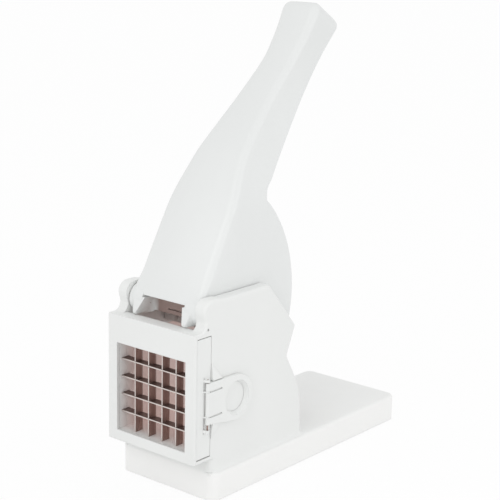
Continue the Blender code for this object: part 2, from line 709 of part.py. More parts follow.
def make_lever(pivot, look):
    bm = bmesh.new()
    add_loft(bm, outer_sections())
    lever = make_object(bm, "lever", pivot, look)

    bm = bmesh.new()
    add_loft(bm, cavity_sections())
    combine(lever, make_object(bm, "lever_cavity", pivot), "DIFFERENCE")

    for side, name in ((-1, "left"), (1, "right")):
        bm = bmesh.new()
        ends = sorted((side * BARREL_INNER, side * (HALF_CHANNEL - BARREL_SIDE_GAP)))
        add_cylinder_x(bm, BARREL_RADIUS, *ends, 0, 0)
        combine(lever, make_object(bm, "barrel_" + name, pivot), "UNION")
        bm = bmesh.new()
        add_loft(bm, cheek_sections(side))
        combine(lever, make_object(bm, "cheek_" + name, pivot), "UNION")

    bm = bmesh.new()
    foot = -PIVOT_RISE
    flare = (WINDOW_FOOT_HALF - WINDOW_HEAD_HALF) / (WINDOW_HEAD - foot)
    low, wide = foot - OVERRUN, WINDOW_FOOT_HALF + flare * OVERRUN
    opening = [(-wide, low), (wide, low), (WINDOW_HEAD_HALF, WINDOW_HEAD), (-WINDOW_HEAD_HALF, WINDOW_HEAD)]
    front = bm.faces.new([bm.verts.new((x, -TOE_REACH - OVERRUN, z)) for x, z in opening])
    moved = bmesh.ops.extrude_face_region(bm, geom=[front])["geom"]
    bmesh.ops.translate(bm, verts=[v for v in moved if isinstance(v, bmesh.types.BMVert)],
                        vec=(0, TOE_REACH + OVERRUN - PIN_RADIUS - GAP, 0))
    combine(lever, make_object(bm, "hub_window", pivot), "DIFFERENCE")

    bm = bmesh.new()
    reach = HALF_LEVER + OVERRUN
    add_cylinder_x(bm, PIN_RADIUS + GAP, -reach, reach, 0, 0, 2 * SMALL_SEGMENTS)
    combine(lever, make_object(bm, "pin_bore", pivot), "DIFFERENCE")

    bm = bmesh.new()
    fronts, _ = lever_paths()
    relief = fronts[1].lerp(fronts[0], RELIEF_SHARE)
    add_box(bm, (-RELIEF_WIDTH / 2, relief.x - OVERRUN, relief.y - RELIEF_HEIGHT / 2),
            (RELIEF_WIDTH / 2, relief.x + OVERRUN, relief.y + RELIEF_HEIGHT / 2))
    combine(lever, make_object(bm, "web_slot", pivot), "DIFFERENCE")


def cheek_outline():
    """Front of the hub cheek: the lever's front run on to a toe that stops on the frame's top bar."""
    sole = -PIVOT_RISE + GAP
    top = front_point(PIN_RADIUS)
    toe = (-TOE_REACH, sole)
    heel = (-math.sqrt(BARREL_RADIUS ** 2 - sole ** 2), sole)
    return [top] + [Vector(p) for p in round_corner(tuple(top), toe, heel, CHEEK_ROUND)] + [Vector(heel)]


def cheek_sections(side):
    """Cheek from the window outwards, eased back from its toe into the round of the barrel."""
    toe = cheek_outline()
    start, end = (math.atan2(point.y, point.x) for point in (toe[0], toe[-1]))
    count = len(toe) - 1
    barrel = [Vector(p) for p in arc((0, 0), BARREL_RADIUS, start, end + 2 * math.pi, count)]
    rings = []
    for i in range(-1, CORNER_STEPS + 1):
        share = max(i, 0) / CORNER_STEPS
        x = CHEEK_INNER if i < 0 else CHEEK_OUTER + CHEEK_BLEND * share
        edge = [Vector((0, -PIN_RADIUS)), Vector((0, PIN_RADIUS))]
        edge += [near.lerp(far, share) for near, far in zip(toe, barrel)]
        rings.append([(side * x, *point) for point in edge])
    return rings


def make_pivot_pins(root, look):
    for side, name in ((-1, "pivot_pin_left"), (1, "pivot_pin_right")):
        bm = bmesh.new()
        ends = sorted((side * BARREL_INNER, side * (HALF_CHANNEL + PIN_SOCKET - GAP)))
        add_cylinder_x(bm, PIN_RADIUS, *ends, 0, 0, 2 * SMALL_SEGMENTS)
        make_object(bm, name, root, look, (0, PIVOT_Y, PIVOT_Z))


def make_pusher(pivot, look):
    """Plate across the lever's mouth, with one tapered stud for each cell of the grid."""
    holder = bpy.data.objects["pusher_frame"]
    near = PIVOT_Z - WINDOW_TOP
    bm = bmesh.new()
    reach = PIVOT_Y - BLADE_BACK + STUD_ENTRY
    add_box(bm, (-HALF_LEVER, -PUSHER_PLATE - GAP, -BELLY_RADIUS), (HALF_LEVER, -GAP, -MOUTH_START))
    pusher = make_object(bm, "pusher", holder, look)

    bm = bmesh.new()
    stud = CELL_PITCH - BLADE_THICKNESS - 2 * STUD_CLEARANCE
    for row in range(CELLS):
        for column in range(CELLS):
            x = -HALF_WINDOW + (column + 1 / 2) * CELL_PITCH
            z = -near - (row + 1 / 2) * CELL_PITCH
            verts = add_box(bm, (x - stud / 2, -reach, z - stud / 2),
                            (x + stud / 2, -GAP - PUSHER_PLATE / 2, z + stud / 2))
            tips = [v for v in verts if v.co.y < -PUSHER_PLATE - GAP]
            for vert in tips:
                vert.co.x -= math.copysign(STUD_TAPER, vert.co.x - x)
                vert.co.z -= math.copysign(STUD_TAPER, vert.co.z - z)
    combine(pusher, make_object(bm, "stud_block", holder), "UNION")

    bm = bmesh.new()
    inset = LEVER_SHELL + SPIGOT_MARGIN
    add_box(bm, (-HALF_LEVER + inset, -PUSHER_PLATE / 2, -BELLY_RADIUS + inset + SPIGOT_MARGIN),
            (HALF_LEVER - inset, SPIGOT, -MOUTH_START - inset - SPIGOT_MARGIN))
    combine(pusher, make_object(bm, "spigot_block", holder), "UNION")


# Blade cassette

def blade_places(origin):
    return [origin + (i + 1) * CELL_PITCH for i in range(CELLS - 1)]


def frame_half(name, y_low, y_high, slide, look):
    """One half of the cassette frame: a plate with the window and the pockets for the blade ends."""
    bm = bmesh.new()
    front = name == "cassette_front"
    right = HALF_FRONT - END_WALL - GAP if front else HALF_FRONT
    add_box(bm, (-HALF_FRONT + BLIND_WALL + GAP, y_low, SLOT_BOTTOM + GAP),
            (right, y_high, SLOT_TOP - GAP))
    half = make_object(bm, name, slide, look)
    if not front:
        bm = bmesh.new()
        add_box(bm, (HALF_FRONT - END_WALL, CASSETTE_FRONT, SLOT_BOTTOM + GAP),
                (HALF_FRONT, (y_low + y_high) / 2, SLOT_TOP - GAP))
        combine(half, make_object(bm, "end_wall", slide), "UNION")
    bm = bmesh.new()
    add_box(bm, (-HALF_WINDOW, y_low - OVERRUN, WINDOW_BOTTOM),
            (HALF_WINDOW, y_high + OVERRUN, WINDOW_TOP))
    combine(half, make_object(bm, name + "_window", slide), "DIFFERENCE")
    pocket = (BLADE_FRONT - GAP, y_high + OVERRUN) if front else (y_low - OVERRUN, BLADE_BACK + GAP)
    slot = BLADE_THICKNESS / 2 + GAP
    end = BLADE_EMBED + GAP
    bm = bmesh.new()
    for x in blade_places(-HALF_WINDOW):
        add_box(bm, (x - slot, pocket[0], WINDOW_BOTTOM - end), (x + slot, pocket[1], WINDOW_TOP + end))
    combine(half, make_object(bm, name + "_upright_pockets", slide), "DIFFERENCE")
    bm = bmesh.new()
    for z in blade_places(WINDOW_BOTTOM):
        add_box(bm, (-HALF_WINDOW - end, pocket[0], z - slot), (HALF_WINDOW + end, pocket[1], z + slot))
    combine(half, make_object(bm, name + "_level_pockets", slide), "DIFFERENCE")
    return half


def make_cassette(slide, look):
    frame_half("cassette_front", CASSETTE_FRONT, CASSETTE_SEAM - GAP / 2, slide, look)
    back = frame_half("cassette_back", CASSETTE_SEAM + GAP / 2, CASSETTE_BACK, slide, look)
    bm = bmesh.new()
    reach = RING_RADIUS + GAP + END_LUG
    add_box(bm, (HALF_FRONT - SLOT_DEPTH, HINGE_Y - KNUCKLE_RADIUS - SLOT_WIDTH, HINGE_Z - reach),
            (HALF_FRONT + OVERRUN, HINGE_Y - KNUCKLE_RADIUS, HINGE_Z + reach))
    combine(back, make_object(bm, "hinge_slot", slide), "DIFFERENCE")
    bm = bmesh.new()
    for low, high in lug_spans():
        add_lug(bm, low, high)
    combine(back, make_object(bm, "hinge_lugs", slide), "UNION")
    bm = bmesh.new()
    add_cylinder_z(bm, BORE_RADIUS, HINGE_X, HINGE_Y, HINGE_Z - reach - OVERRUN, HINGE_Z + reach + OVERRUN)
    combine(back, make_object(bm, "lug_bore", slide), "DIFFERENCE")


def lug_spans():
    """Low and high ends of the hinge lugs: two in the tab's slits and one beyond each of its edges."""
    inner, outer = RING_RADIUS + GAP, RING_RADIUS + GAP + END_LUG
    spans = [(side * SLIT_OFFSET - LUG / 2, side * SLIT_OFFSET + LUG / 2) for side in (-1, 1)]
    spans += [(-outer, -inner), (inner, outer)]
    return [(HINGE_Z + low, HINGE_Z + high) for low, high in spans]


def add_lug(bm, low, high):
    sunk = HALF_FRONT - SLOT_DEPTH / 2
    outline = [(sunk, HINGE_Y - KNUCKLE_RADIUS)]
    outline += arc((HINGE_X, HINGE_Y), KNUCKLE_RADIUS, -math.pi / 2, math.pi / 2)
    outline += [(sunk, HINGE_Y + KNUCKLE_RADIUS)]
    add_slab(bm, outline, low, high)


def blade_outline(length, notch_front):
    """Comb outline of a blade as (along, depth): half-lap notches open at the front or at the back."""
    middle = BLADE_FRONT + BLADE_DEPTH / 2
    start = -length / 2
    notch = BLADE_THICKNESS / 2 + GAP
    level, bottom = (BLADE_FRONT, middle + GAP / 2) if notch_front else (BLADE_BACK, middle - GAP / 2)
    other = BLADE_BACK if notch_front else BLADE_FRONT
    outline = [(start, other), (start, level)]
    for place in blade_places(-HALF_WINDOW):
        low, high = place - notch, place + notch
        outline += [(low, level), (low, bottom), (high, bottom), (high, level)]
    return outline + [(-start, level), (-start, other)]


def make_blade(name, slide, look, upright, place):
    length = WINDOW + 2 * BLADE_EMBED
    bm = bmesh.new()
    outline = blade_outline(length, upright)
    half = BLADE_THICKNESS / 2
    face = bm.faces.new([bm.verts.new((-half, depth, along)) for along, depth in outline])
    moved = bmesh.ops.extrude_face_region(bm, geom=[face])["geom"]
    bmesh.ops.translate(bm, verts=[v for v in moved if isinstance(v, bmesh.types.BMVert)],
                        vec=(BLADE_THICKNESS, 0, 0))
    bmesh.ops.bisect_plane(bm, geom=bm.verts[:] + bm.edges[:] + bm.faces[:],
                           plane_co=(0, BLADE_BACK - BLADE_BEVEL, 0), plane_no=(0, 1, 0))
    for vert in bm.verts:
        if vert.co.y > BLADE_BACK - BLADE_BEVEL / 2:
            vert.co.x *= BLADE_EDGE_SHARE
    if upright:
        location = (place, 0, WINDOW_MIDDLE)
    else:
        bmesh.ops.rotate(bm, verts=bm.verts, cent=(0, 0, 0), matrix=Matrix.Rotation(math.pi / 2, 3, "Y"))
        location = (0, 0, place)
    make_object(bm, name, slide, look, location)


def make_blades(slide, look):
    for i, x in enumerate(blade_places(-HALF_WINDOW), 1):
        make_blade(f"upright_blade_{i}", slide, look, True, x)
    for i, z in enumerate(blade_places(WINDOW_BOTTOM), 1):
        make_blade(f"level_blade_{i}", slide, look, False, z)


# Pull ring, modelled about its hinge axis

def make_ring(hinge, look):
    """Finger ring with a slit tab and three knuckles, folded back against the wall."""
    bm = bmesh.new()
    quarter = math.pi / 2
    outline = [(0, -RING_RADIUS)]
    outline += arc((RING_BACK, 0), RING_RADIUS, -quarter, quarter, RING_STEPS)
    outline += [(0, RING_RADIUS)]
    faces = add_prism(bm, outline, KNUCKLE_RADIUS - RING_THICKNESS, KNUCKLE_RADIUS)
    rim = [edge for face in faces for edge in face.edges if max(v.co.y for v in edge.verts) > KNUCKLE_RADIUS]
    bmesh.ops.bevel(bm, geom=rim, offset=RING_EDGE, segments=RING_SEGMENTS, profile=0.5, affect="EDGES")
    ring = make_object(bm, "pull_ring", hinge, look)
    bm = bmesh.new()
    add_cylinder_z(bm, KNUCKLE_RADIUS, 0, 0, -RING_RADIUS, RING_RADIUS, 2 * SMALL_SEGMENTS)
    combine(ring, make_object(bm, "knuckle_roll", hinge), "UNION")
    bm = bmesh.new()
    add_cylinder_x(bm, RING_HOLE, -OVERRUN, OVERRUN, RING_BACK, 0)
    combine(ring, make_object(bm, "finger_hole", hinge), "DIFFERENCE")
    bm = bmesh.new()
    slit = LUG / 2 + GAP
    for z in (-SLIT_OFFSET, SLIT_OFFSET):
        add_box(bm, (-OVERRUN, -OVERRUN, z - slit), (OVERRUN, SLIT_BACK, z + slit))
    combine(ring, make_object(bm, "tab_slits", hinge), "DIFFERENCE")
    bm = bmesh.new()
    add_cylinder_z(bm, BORE_RADIUS, 0, 0, -RING_RADIUS - OVERRUN, RING_RADIUS + OVERRUN)
    combine(ring, make_object(bm, "knuckle_bore", hinge), "DIFFERENCE")


def make_ring_pin(slide, look):
    bm = bmesh.new()
    reach = RING_RADIUS + GAP + END_LUG
    add_cylinder_z(bm, HINGE_PIN_RADIUS, 0, 0, -reach, reach)
    make_object(bm, "ring_pin", slide, look, (HINGE_X, HINGE_Y, HINGE_Z))


def main():
    clear_scene()
    root = make_empty("front_of_table", None, (0, FRONT_Y, 0))
    pivot = make_empty("lever_pivot", root, (0, PIVOT_Y, PIVOT_Z))
    pusher_frame = make_empty("pusher_frame", pivot, (0, 0, 0))
    pusher_frame.rotation_euler.x = OPEN_ANGLE
    slide = make_empty("cassette_slide", root, (0, 0, 0))
    hinge = make_empty("ring_hinge", slide, (HINGE_X, HINGE_Y, HINGE_Z))

    make_stand(root, WHITE_PLASTIC)
    make_cover(root, WHITE_PLASTIC)
    make_feet(root, GREY_RUBBER)
    make_screws(root, BRIGHT_STEEL)
    make_pivot_pins(root, BRIGHT_STEEL)
    make_lever(pivot, WHITE_PLASTIC)
    make_pusher(pivot, WHITE_PLASTIC)
    make_cassette(slide, WHITE_PLASTIC)
    make_blades(slide, BRIGHT_STEEL)
    make_ring(hinge, WHITE_PLASTIC)
    make_ring_pin(slide, BRIGHT_STEEL)


main()
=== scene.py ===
"""French fry cutter: the dressed model, laid out as an add-on and run as a script."""
import json
import math

import bmesh
import bpy
from bpy.props import FloatProperty, FloatVectorProperty, IntProperty, PointerProperty
from mathutils import Matrix, Vector


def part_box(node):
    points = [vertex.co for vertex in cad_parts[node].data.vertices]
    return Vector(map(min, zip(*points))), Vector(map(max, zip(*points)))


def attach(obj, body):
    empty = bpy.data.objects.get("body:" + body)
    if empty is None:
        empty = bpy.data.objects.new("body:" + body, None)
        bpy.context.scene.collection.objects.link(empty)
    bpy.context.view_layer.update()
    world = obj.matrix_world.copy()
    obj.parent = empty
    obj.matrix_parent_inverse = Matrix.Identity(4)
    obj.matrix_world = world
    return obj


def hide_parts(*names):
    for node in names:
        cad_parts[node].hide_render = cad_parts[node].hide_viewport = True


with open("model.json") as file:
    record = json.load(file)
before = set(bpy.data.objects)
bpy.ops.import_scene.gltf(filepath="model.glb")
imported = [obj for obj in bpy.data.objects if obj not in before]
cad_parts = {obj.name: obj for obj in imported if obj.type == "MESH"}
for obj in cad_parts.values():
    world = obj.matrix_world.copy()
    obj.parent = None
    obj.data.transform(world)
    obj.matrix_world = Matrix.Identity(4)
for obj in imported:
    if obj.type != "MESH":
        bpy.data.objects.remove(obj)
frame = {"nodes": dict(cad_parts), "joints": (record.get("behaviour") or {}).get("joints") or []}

bl_info = {
    "name": "French Fry Cutter",
    "version": (1, 0, 0),
    "blender": (4, 5, 0),
    "location": "View3D > Sidebar > Fry Cutter",
    "description": "Builds the moulded fry cutter, its blade cassette and its studio stage",
    "category": "Object",
}

MM = 0.001
QUARTER = math.pi / 2
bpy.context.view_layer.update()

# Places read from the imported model, with depths measured from the front face
HINGES = {joint["name"]: joint for joint in frame["joints"]}
FRONT_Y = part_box("stand")[0].y
TO_FRONT = Matrix.Translation((0, FRONT_Y, 0))
PIVOT = Vector(HINGES["lever_hinge"]["pos_m"])
PIVOT_Y, PIVOT_Z = PIVOT.y - FRONT_Y, PIVOT.z
RING_AXIS = Vector(HINGES["ring_hinge"]["pos_m"])
OPEN_ANGLE = -math.radians(HINGES["lever_hinge"]["range_deg"][0])
HALF_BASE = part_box("stand")[1].x
OVERALL_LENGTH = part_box("stand")[1].y - FRONT_Y
EAR_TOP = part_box("stand")[1].z
FOOT_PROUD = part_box("stand")[0].z

# Sizes shared by the pieces
GAP = 0.3 * MM
OVERRUN = 4.0 * MM
CELLS = 5
CELL_PITCH = 12.7 * MM
HALF_WINDOW = CELLS * CELL_PITCH / 2
HALF_FRONT = HALF_WINDOW + 8.55 * MM
BASE_TOP = 21.0 * MM
FRAME_BOTTOM = 31.0 * MM
WINDOW_BOTTOM = 38.6 * MM
WINDOW_TOP = WINDOW_BOTTOM + 2 * HALF_WINDOW
FRAME_TOP = WINDOW_TOP + 19.9 * MM
FACE = 2.2 * MM
SLOT_BOTTOM = FRAME_BOTTOM + 2.6 * MM
SLOT_TOP = FRAME_TOP - 3.2 * MM
BLIND_WALL = 4.3 * MM
END_WALL = 4.0 * MM
CASSETTE_FRONT = FACE + GAP
CASSETTE_BACK = CASSETTE_FRONT + 13.2 * MM
CASSETTE_SEAM = (CASSETTE_FRONT + CASSETTE_BACK) / 2
BLADE_THICKNESS = 0.8 * MM
BLADE_FRONT = CASSETTE_FRONT + 2.3 * MM
BLADE_BACK = CASSETTE_FRONT + 9.8 * MM
FRAME_DEPTH = CASSETTE_BACK + GAP
HALF_CHANNEL = HALF_FRONT - 8.8 * MM
FLOOR = WINDOW_BOTTOM - 0.8 * MM
WALL_TOP = EAR_TOP - 1.1 * MM
PIN_RADIUS = 3.0 * MM
HALF_HINGE = 16.3 * MM
KNUCKLE_RADIUS = 1.5 * MM
BELLY_RADIUS = PIVOT_Z - FLOOR - 0.4 * MM
BARREL_RADIUS = math.hypot(PIVOT_Y - FRAME_DEPTH, PIVOT_Z - FRAME_TOP) - 0.45 * MM
HALF_LEVER = HALF_CHANNEL - 0.6 * MM
WELD = 0.01 * MM
SHARP_ANGLE = math.radians(35.0)


# Outline helpers

def ease(t):
    """Rise from 0 to 1, level at both ends."""
    return t ** 2 * (3 - 2 * t)


def arc(centre, radius, start, end, steps):
    """Points on a circle from the start angle to the end angle."""
    angles = [start + (end - start) * i / steps for i in range(steps + 1)]
    return [(centre[0] + radius * math.cos(a), centre[1] + radius * math.sin(a)) for a in angles]


def rounded_rectangle(low, high, radius, steps=8):
    (x0, y0), (x1, y1) = low, high
    corners = ((x1 - radius, y0 + radius, -QUARTER), (x1 - radius, y1 - radius, 0),
               (x0 + radius, y1 - radius, QUARTER), (x0 + radius, y0 + radius, 2 * QUARTER))
    return [p for x, y, start in corners for p in arc((x, y), radius, start, start + QUARTER, steps)]


def round_corner(before, corner, after, radius, steps=8):
    """Replaces a corner between two straight runs by an arc."""
    before, corner, after = Vector(before), Vector(corner), Vector(after)
    u, v = (before - corner).normalized(), (after - corner).normalized()
    half = u.angle(v) / 2
    centre = corner + (u + v).normalized() * (radius / math.sin(half))
    reach = radius / math.tan(half)
    first, last = corner + u * reach - centre, corner + v * reach - centre
    turn = first.angle_signed(last)
    return [tuple(centre + Matrix.Rotation(-turn * i / steps, 2) @ first) for i in range(steps + 1)]


def spline(points, steps):
    """Smooth curve through the points."""
    points = [Vector(p) for p in points]
    points = [2 * points[0] - points[1]] + points + [2 * points[-1] - points[-2]]
    curve = []
    for a, b, c, d in zip(points, points[1:], points[2:], points[3:]):
        for i in range(steps):
            t = i / steps
            curve.append(((2 * b) + (c - a) * t + (2 * a - 5 * b + 4 * c - d) * t ** 2
                          + (3 * b - a - 3 * c + d) * t ** 3) / 2)
    return curve + [points[-2]]


def at_share(path, share):
    """Point at a share of a polyline's length."""
    lengths = [(b - a).length for a, b in zip(path, path[1:])]
    left = share * sum(lengths)
    for a, b, length in zip(path, path[1:], lengths):
        if left <= length:
            return a + (b - a) * (left / length)
        left -= length
    return path[-1]


# Mesh helpers

def of_type(items, kind):
    return [item for item in items if isinstance(item, kind)]


def add_block(bm, low, high):
    low, high = Vector(low), Vector(high)
    place = Matrix.Translation((low + high) / 2) @ Matrix.Diagonal((*(high - low), 1))
    return bmesh.ops.create_cube(bm, size=1, matrix=place)["verts"]


def add_prism(bm, outline, low, high, axis="X"):
    """Extrudes an outline along X, as (y, z), or along Z, as (x, y)."""
    places = [(low, a, b) if axis == "X" else (a, b, low) for a, b in outline]
    way = (high - low, 0, 0) if axis == "X" else (0, 0, high - low)
    face = bm.faces.new([bm.verts.new(place) for place in places])
    moved = bmesh.ops.extrude_face_region(bm, geom=[face])["geom"]
    bmesh.ops.translate(bm, verts=of_type(moved, bmesh.types.BMVert), vec=way)
    return face, of_type(moved, bmesh.types.BMFace)[0]


def loft(bm, rings):
    """Extrudes the face of the first ring through the others, one at a time."""
    loop = [bm.verts.new(point) for point in rings[0]]
    face, inner = bm.faces.new(loop), None
    for ring in rings[1:]:
        order = {tuple(vert.co): i for i, vert in enumerate(loop)}
        moved = bmesh.ops.extrude_face_region(bm, geom=[face])["geom"]
        if inner:
            bm.faces.remove(inner)
        inner = face = of_type(moved, bmesh.types.BMFace)[0]
        loop = sorted(face.verts, key=lambda vert: order[tuple(vert.co)])
        for vert, point in zip(loop, ring):
            vert.co = point


def add_rod(bm, radius, low, high, axis="X", segments=48):
    """Round bar between two points that differ along one axis only."""
    low, high = Vector(low), Vector(high)
    turn = Matrix.Rotation(QUARTER, 4, "Y") if axis == "X" else Matrix.Identity(4)
    place = Matrix.Translation((low + high) / 2) @ turn
    return bmesh.ops.create_cone(bm, cap_ends=True, segments=segments, radius1=radius, radius2=radius,
                                 depth=(high - low).length, matrix=place)["verts"]


def round_edges(bm, edges, radius, segments=3):
    bmesh.ops.bevel(bm, geom=edges, offset=radius, segments=segments, profile=0.5, affect="EDGES",
                    material=-1)


def rim_of(*faces):
    return list({edge for face in faces for edge in face.edges})


def edges_at(verts):
    return list({edge for vert in verts for edge in vert.link_edges})


def solid(name, maker, *values):
    """New piece from the solid that a maker adds to an empty bmesh."""
    bm = bmesh.new()
    maker(bm, *values)
    bmesh.ops.recalc_face_normals(bm, faces=bm.faces)
    mesh = bpy.data.meshes.new(name)
    bm.to_mesh(mesh)
    bm.free()
    item = bpy.data.objects.new(name, mesh)
    bpy.context.scene.collection.objects.link(item)
    return item


def combine(piece, operation, maker, values):
    """Boolean of a piece with the solid that a maker adds, kept as the piece's own mesh."""
    tool = solid("tool", maker, *values)
    modifier = piece.modifiers.new("shape", "BOOLEAN")
    modifier.operation = operation
    modifier.solver = "MANIFOLD"
    modifier.object = tool
    old, spent = piece.data, tool.data
    graph = bpy.context.evaluated_depsgraph_get()
    piece.data = bpy.data.meshes.new_from_object(piece.evaluated_get(graph))
    piece.modifiers.clear()
    bpy.data.objects.remove(tool)
    bpy.data.meshes.remove(spent)
    bpy.data.meshes.remove(old)
    if not piece.data.polygons:
        raise RuntimeError(f"{piece.name} was cut away")


def join(piece, maker, *values):
    combine(piece, "UNION", maker, values)


def cut(piece, maker, *values):
    combine(piece, "DIFFERENCE", maker, values)


def finish_piece(piece, name, body, material, nodes, place, edge=0.0):
    """Puts a shaped piece in its place, cleans it, gives it its finish and ties it to its body."""
    bm = bmesh.new()
    bm.from_mesh(piece.data)
    bmesh.ops.transform(bm, matrix=place, verts=bm.verts)
    bmesh.ops.remove_doubles(bm, verts=bm.verts, dist=WELD)
    bmesh.ops.dissolve_degenerate(bm, edges=bm.edges, dist=WELD)
    bmesh.ops.recalc_face_normals(bm, faces=bm.faces)
    many_sided = [face for face in bm.faces if len(face.verts) > 4]
    bmesh.ops.triangulate(bm, faces=many_sided, ngon_method="BEAUTY")
    bm.to_mesh(piece.data)
    bm.free()
    piece.name = piece.data.name = name
    piece.data.materials.clear()
    piece.data.materials.append(material)
    piece.data.shade_smooth()
    piece.data.set_sharp_from_angle(angle=SHARP_ANGLE)
    if edge:
        soften = piece.modifiers.new("soft_edges", "BEVEL")
        soften.width = edge
        soften.segments = 2
        soften.limit_method = "ANGLE"
        soften.angle_limit = SHARP_ANGLE
        soften.harden_normals = True
    flats = piece.modifiers.new("even_flats", "WEIGHTED_NORMAL")
    flats.keep_sharp = True
    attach(piece, body)
    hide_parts(*nodes)


# Materials

class Nodes:
    """Node builder: each call adds a node to the tree and sets or links its inputs."""

    def __init__(self, tree):
        self.tree = tree

    def add(self, kind, inputs=None, **settings):
        node = self.tree.nodes.new(kind)
        for key, value in settings.items():
            setattr(node, key, value)
        for key, value in (inputs or {}).items():
            self.set(node.inputs[key], value)
        return node

    def set(self, socket, value):
        if isinstance(value, bpy.types.NodeSocket):
            self.tree.links.new(value, socket)
        else:
            socket.default_value = value

    def spread(self, value, low, high, to_low=0.0, to_high=1.0):
        return self.add("ShaderNodeMapRange", {"Value": value, "From Min": low, "From Max": high,
                                               "To Min": to_low, "To Max": to_high}).outputs[0]

    def math(self, operation, a, b=0.0, clamp=False):
        return self.add("ShaderNodeMath", {0: a, 1: b}, operation=operation, use_clamp=clamp).outputs[0]

    def product(self, first, *others):
        for value in others:
            first = self.math("MULTIPLY", first, value)
        return first

    def seen_directly(self):
        """1 for rays that see the background, straight or in a gloss, and 0 for the others."""
        path = self.add("ShaderNodeLightPath").outputs
        glossy = self.math("ADD", path["Is Camera Ray"], path["Is Glossy Ray"], True)
        return self.math("ADD", glossy, path["Is Transmission Ray"], True)


class Shader(Nodes):
    """Node builder for the material of one finish, around its Principled surface."""

    def __init__(self, name):
        self.material = bpy.data.materials.new(name)
        self.material.use_nodes = True
        super().__init__(self.material.node_tree)
        self.surface = self.tree.nodes["Principled BSDF"]

    def paint(self, **values):
        """Sets or links the surface's inputs, named with underscores for spaces."""
        for key, value in values.items():
            self.set(self.surface.inputs[key.replace("_", " ")], value)

    def place(self):
        return self.add("ShaderNodeTexCoord").outputs["Object"]

    def axes(self):
        """X, Y and Z of a point on the piece."""
        return self.add("ShaderNodeSeparateXYZ", {"Vector": self.place()}).outputs

    def noise(self, scale, detail=3.0, stretch=(1, 1, 1)):
        mapping = self.add("ShaderNodeMapping", {"Vector": self.place(), "Scale": stretch})
        return self.add("ShaderNodeTexNoise", {"Vector": mapping.outputs[0], "Scale": scale,
                                               "Detail": detail}).outputs[0]

    def mix(self, factor, a, b):
        node = self.add("ShaderNodeMix", data_type="RGBA")
        for socket, value in zip([node.inputs[0], node.inputs[6], node.inputs[7]], [factor, a, b]):
            self.set(socket, value)
        return node.outputs[2]

    def bump(self, height, distance, strength, normal):
        return self.add("ShaderNodeBump", {"Height": height, "Distance": distance,
                                           "Strength": strength, "Normal": normal}).outputs[0]

    def soft_edge(self, radius):
        return self.add("ShaderNodeBevel", {"Radius": radius}, samples=4).outputs[0]

    def edge_mask(self, rounded):
        """1 along the piece's edges, 0 on its flats."""
        flat = self.add("ShaderNodeNewGeometry").outputs["Normal"]
        dot = self.add("ShaderNodeVectorMath", {0: flat, 1: rounded}, operation="DOT_PRODUCT")
        return self.spread(dot.outputs["Value"], 0.995, 0.9)

    def crevice_shade(self, reach):
        """1 deep in seams and corners, 0 in the open: where the painted shade goes."""
        node = self.add("ShaderNodeAmbientOcclusion", {"Distance": reach}, samples=6)
        return self.spread(node.outputs["AO"], 0.75, 0.2)


def shades(tones, factors=(1, 1, 1)):
    """Each tone with its red, green and blue times their factors, ready for a colour socket."""
    return [(*(a * b for a, b in zip(tone, factors)), 1) for tone in tones]


def between(s, value, low, high, fade):
    """1 between two values, fading to 0 outside them."""
    return s.product(s.spread(value, low - fade, low), s.spread(value, high + fade, high))


def chamber_depth(s, at):
    """How deep a point lies in the potato chamber or the cassette's window, 0 to 1: where the chamber's
    painted shade and painted glow go.
    """
    inside = s.math("LESS_THAN", s.math("ABSOLUTE", at["X"]), HALF_WINDOW + 0.4 * MM)
    below = s.math("LESS_THAN", at["Z"], WINDOW_TOP + 3 * MM)
    above = s.math("GREATER_THAN", at["Z"], FLOOR - MM)
    deepening = s.spread(at["Y"], FRONT_Y + 2 * MM, FRONT_Y + 22 * MM)
    fading = s.spread(at["Y"], FRONT_Y + 110 * MM, FRONT_Y + 60 * MM)
    return s.product(inside, below, above, deepening, fading)


def hub_depth(s, at):
    """How deep a point lies in the recess of the lever's hub, 0 to 1: where its painted shade goes."""
    across = between(s, at["X"], -15 * MM, 18 * MM, 3.5 * MM)
    depth = between(s, at["Y"], PIVOT.y, PIVOT.y + 5 * MM, 5 * MM)
    height = between(s, at["Z"], PIVOT.z - 20 * MM, PIVOT.z + 4.2 * MM, 0.3 * MM)
    return s.product(across, depth, height)


def pusher_depth(s, at):
    """How near a point of the pusher lies to the hub, 0 to 1: where its painted shade goes."""
    return s.spread(at["Y"], PIVOT.y + 60 * MM, PIVOT.y + 20 * MM, 0.0, 0.45)


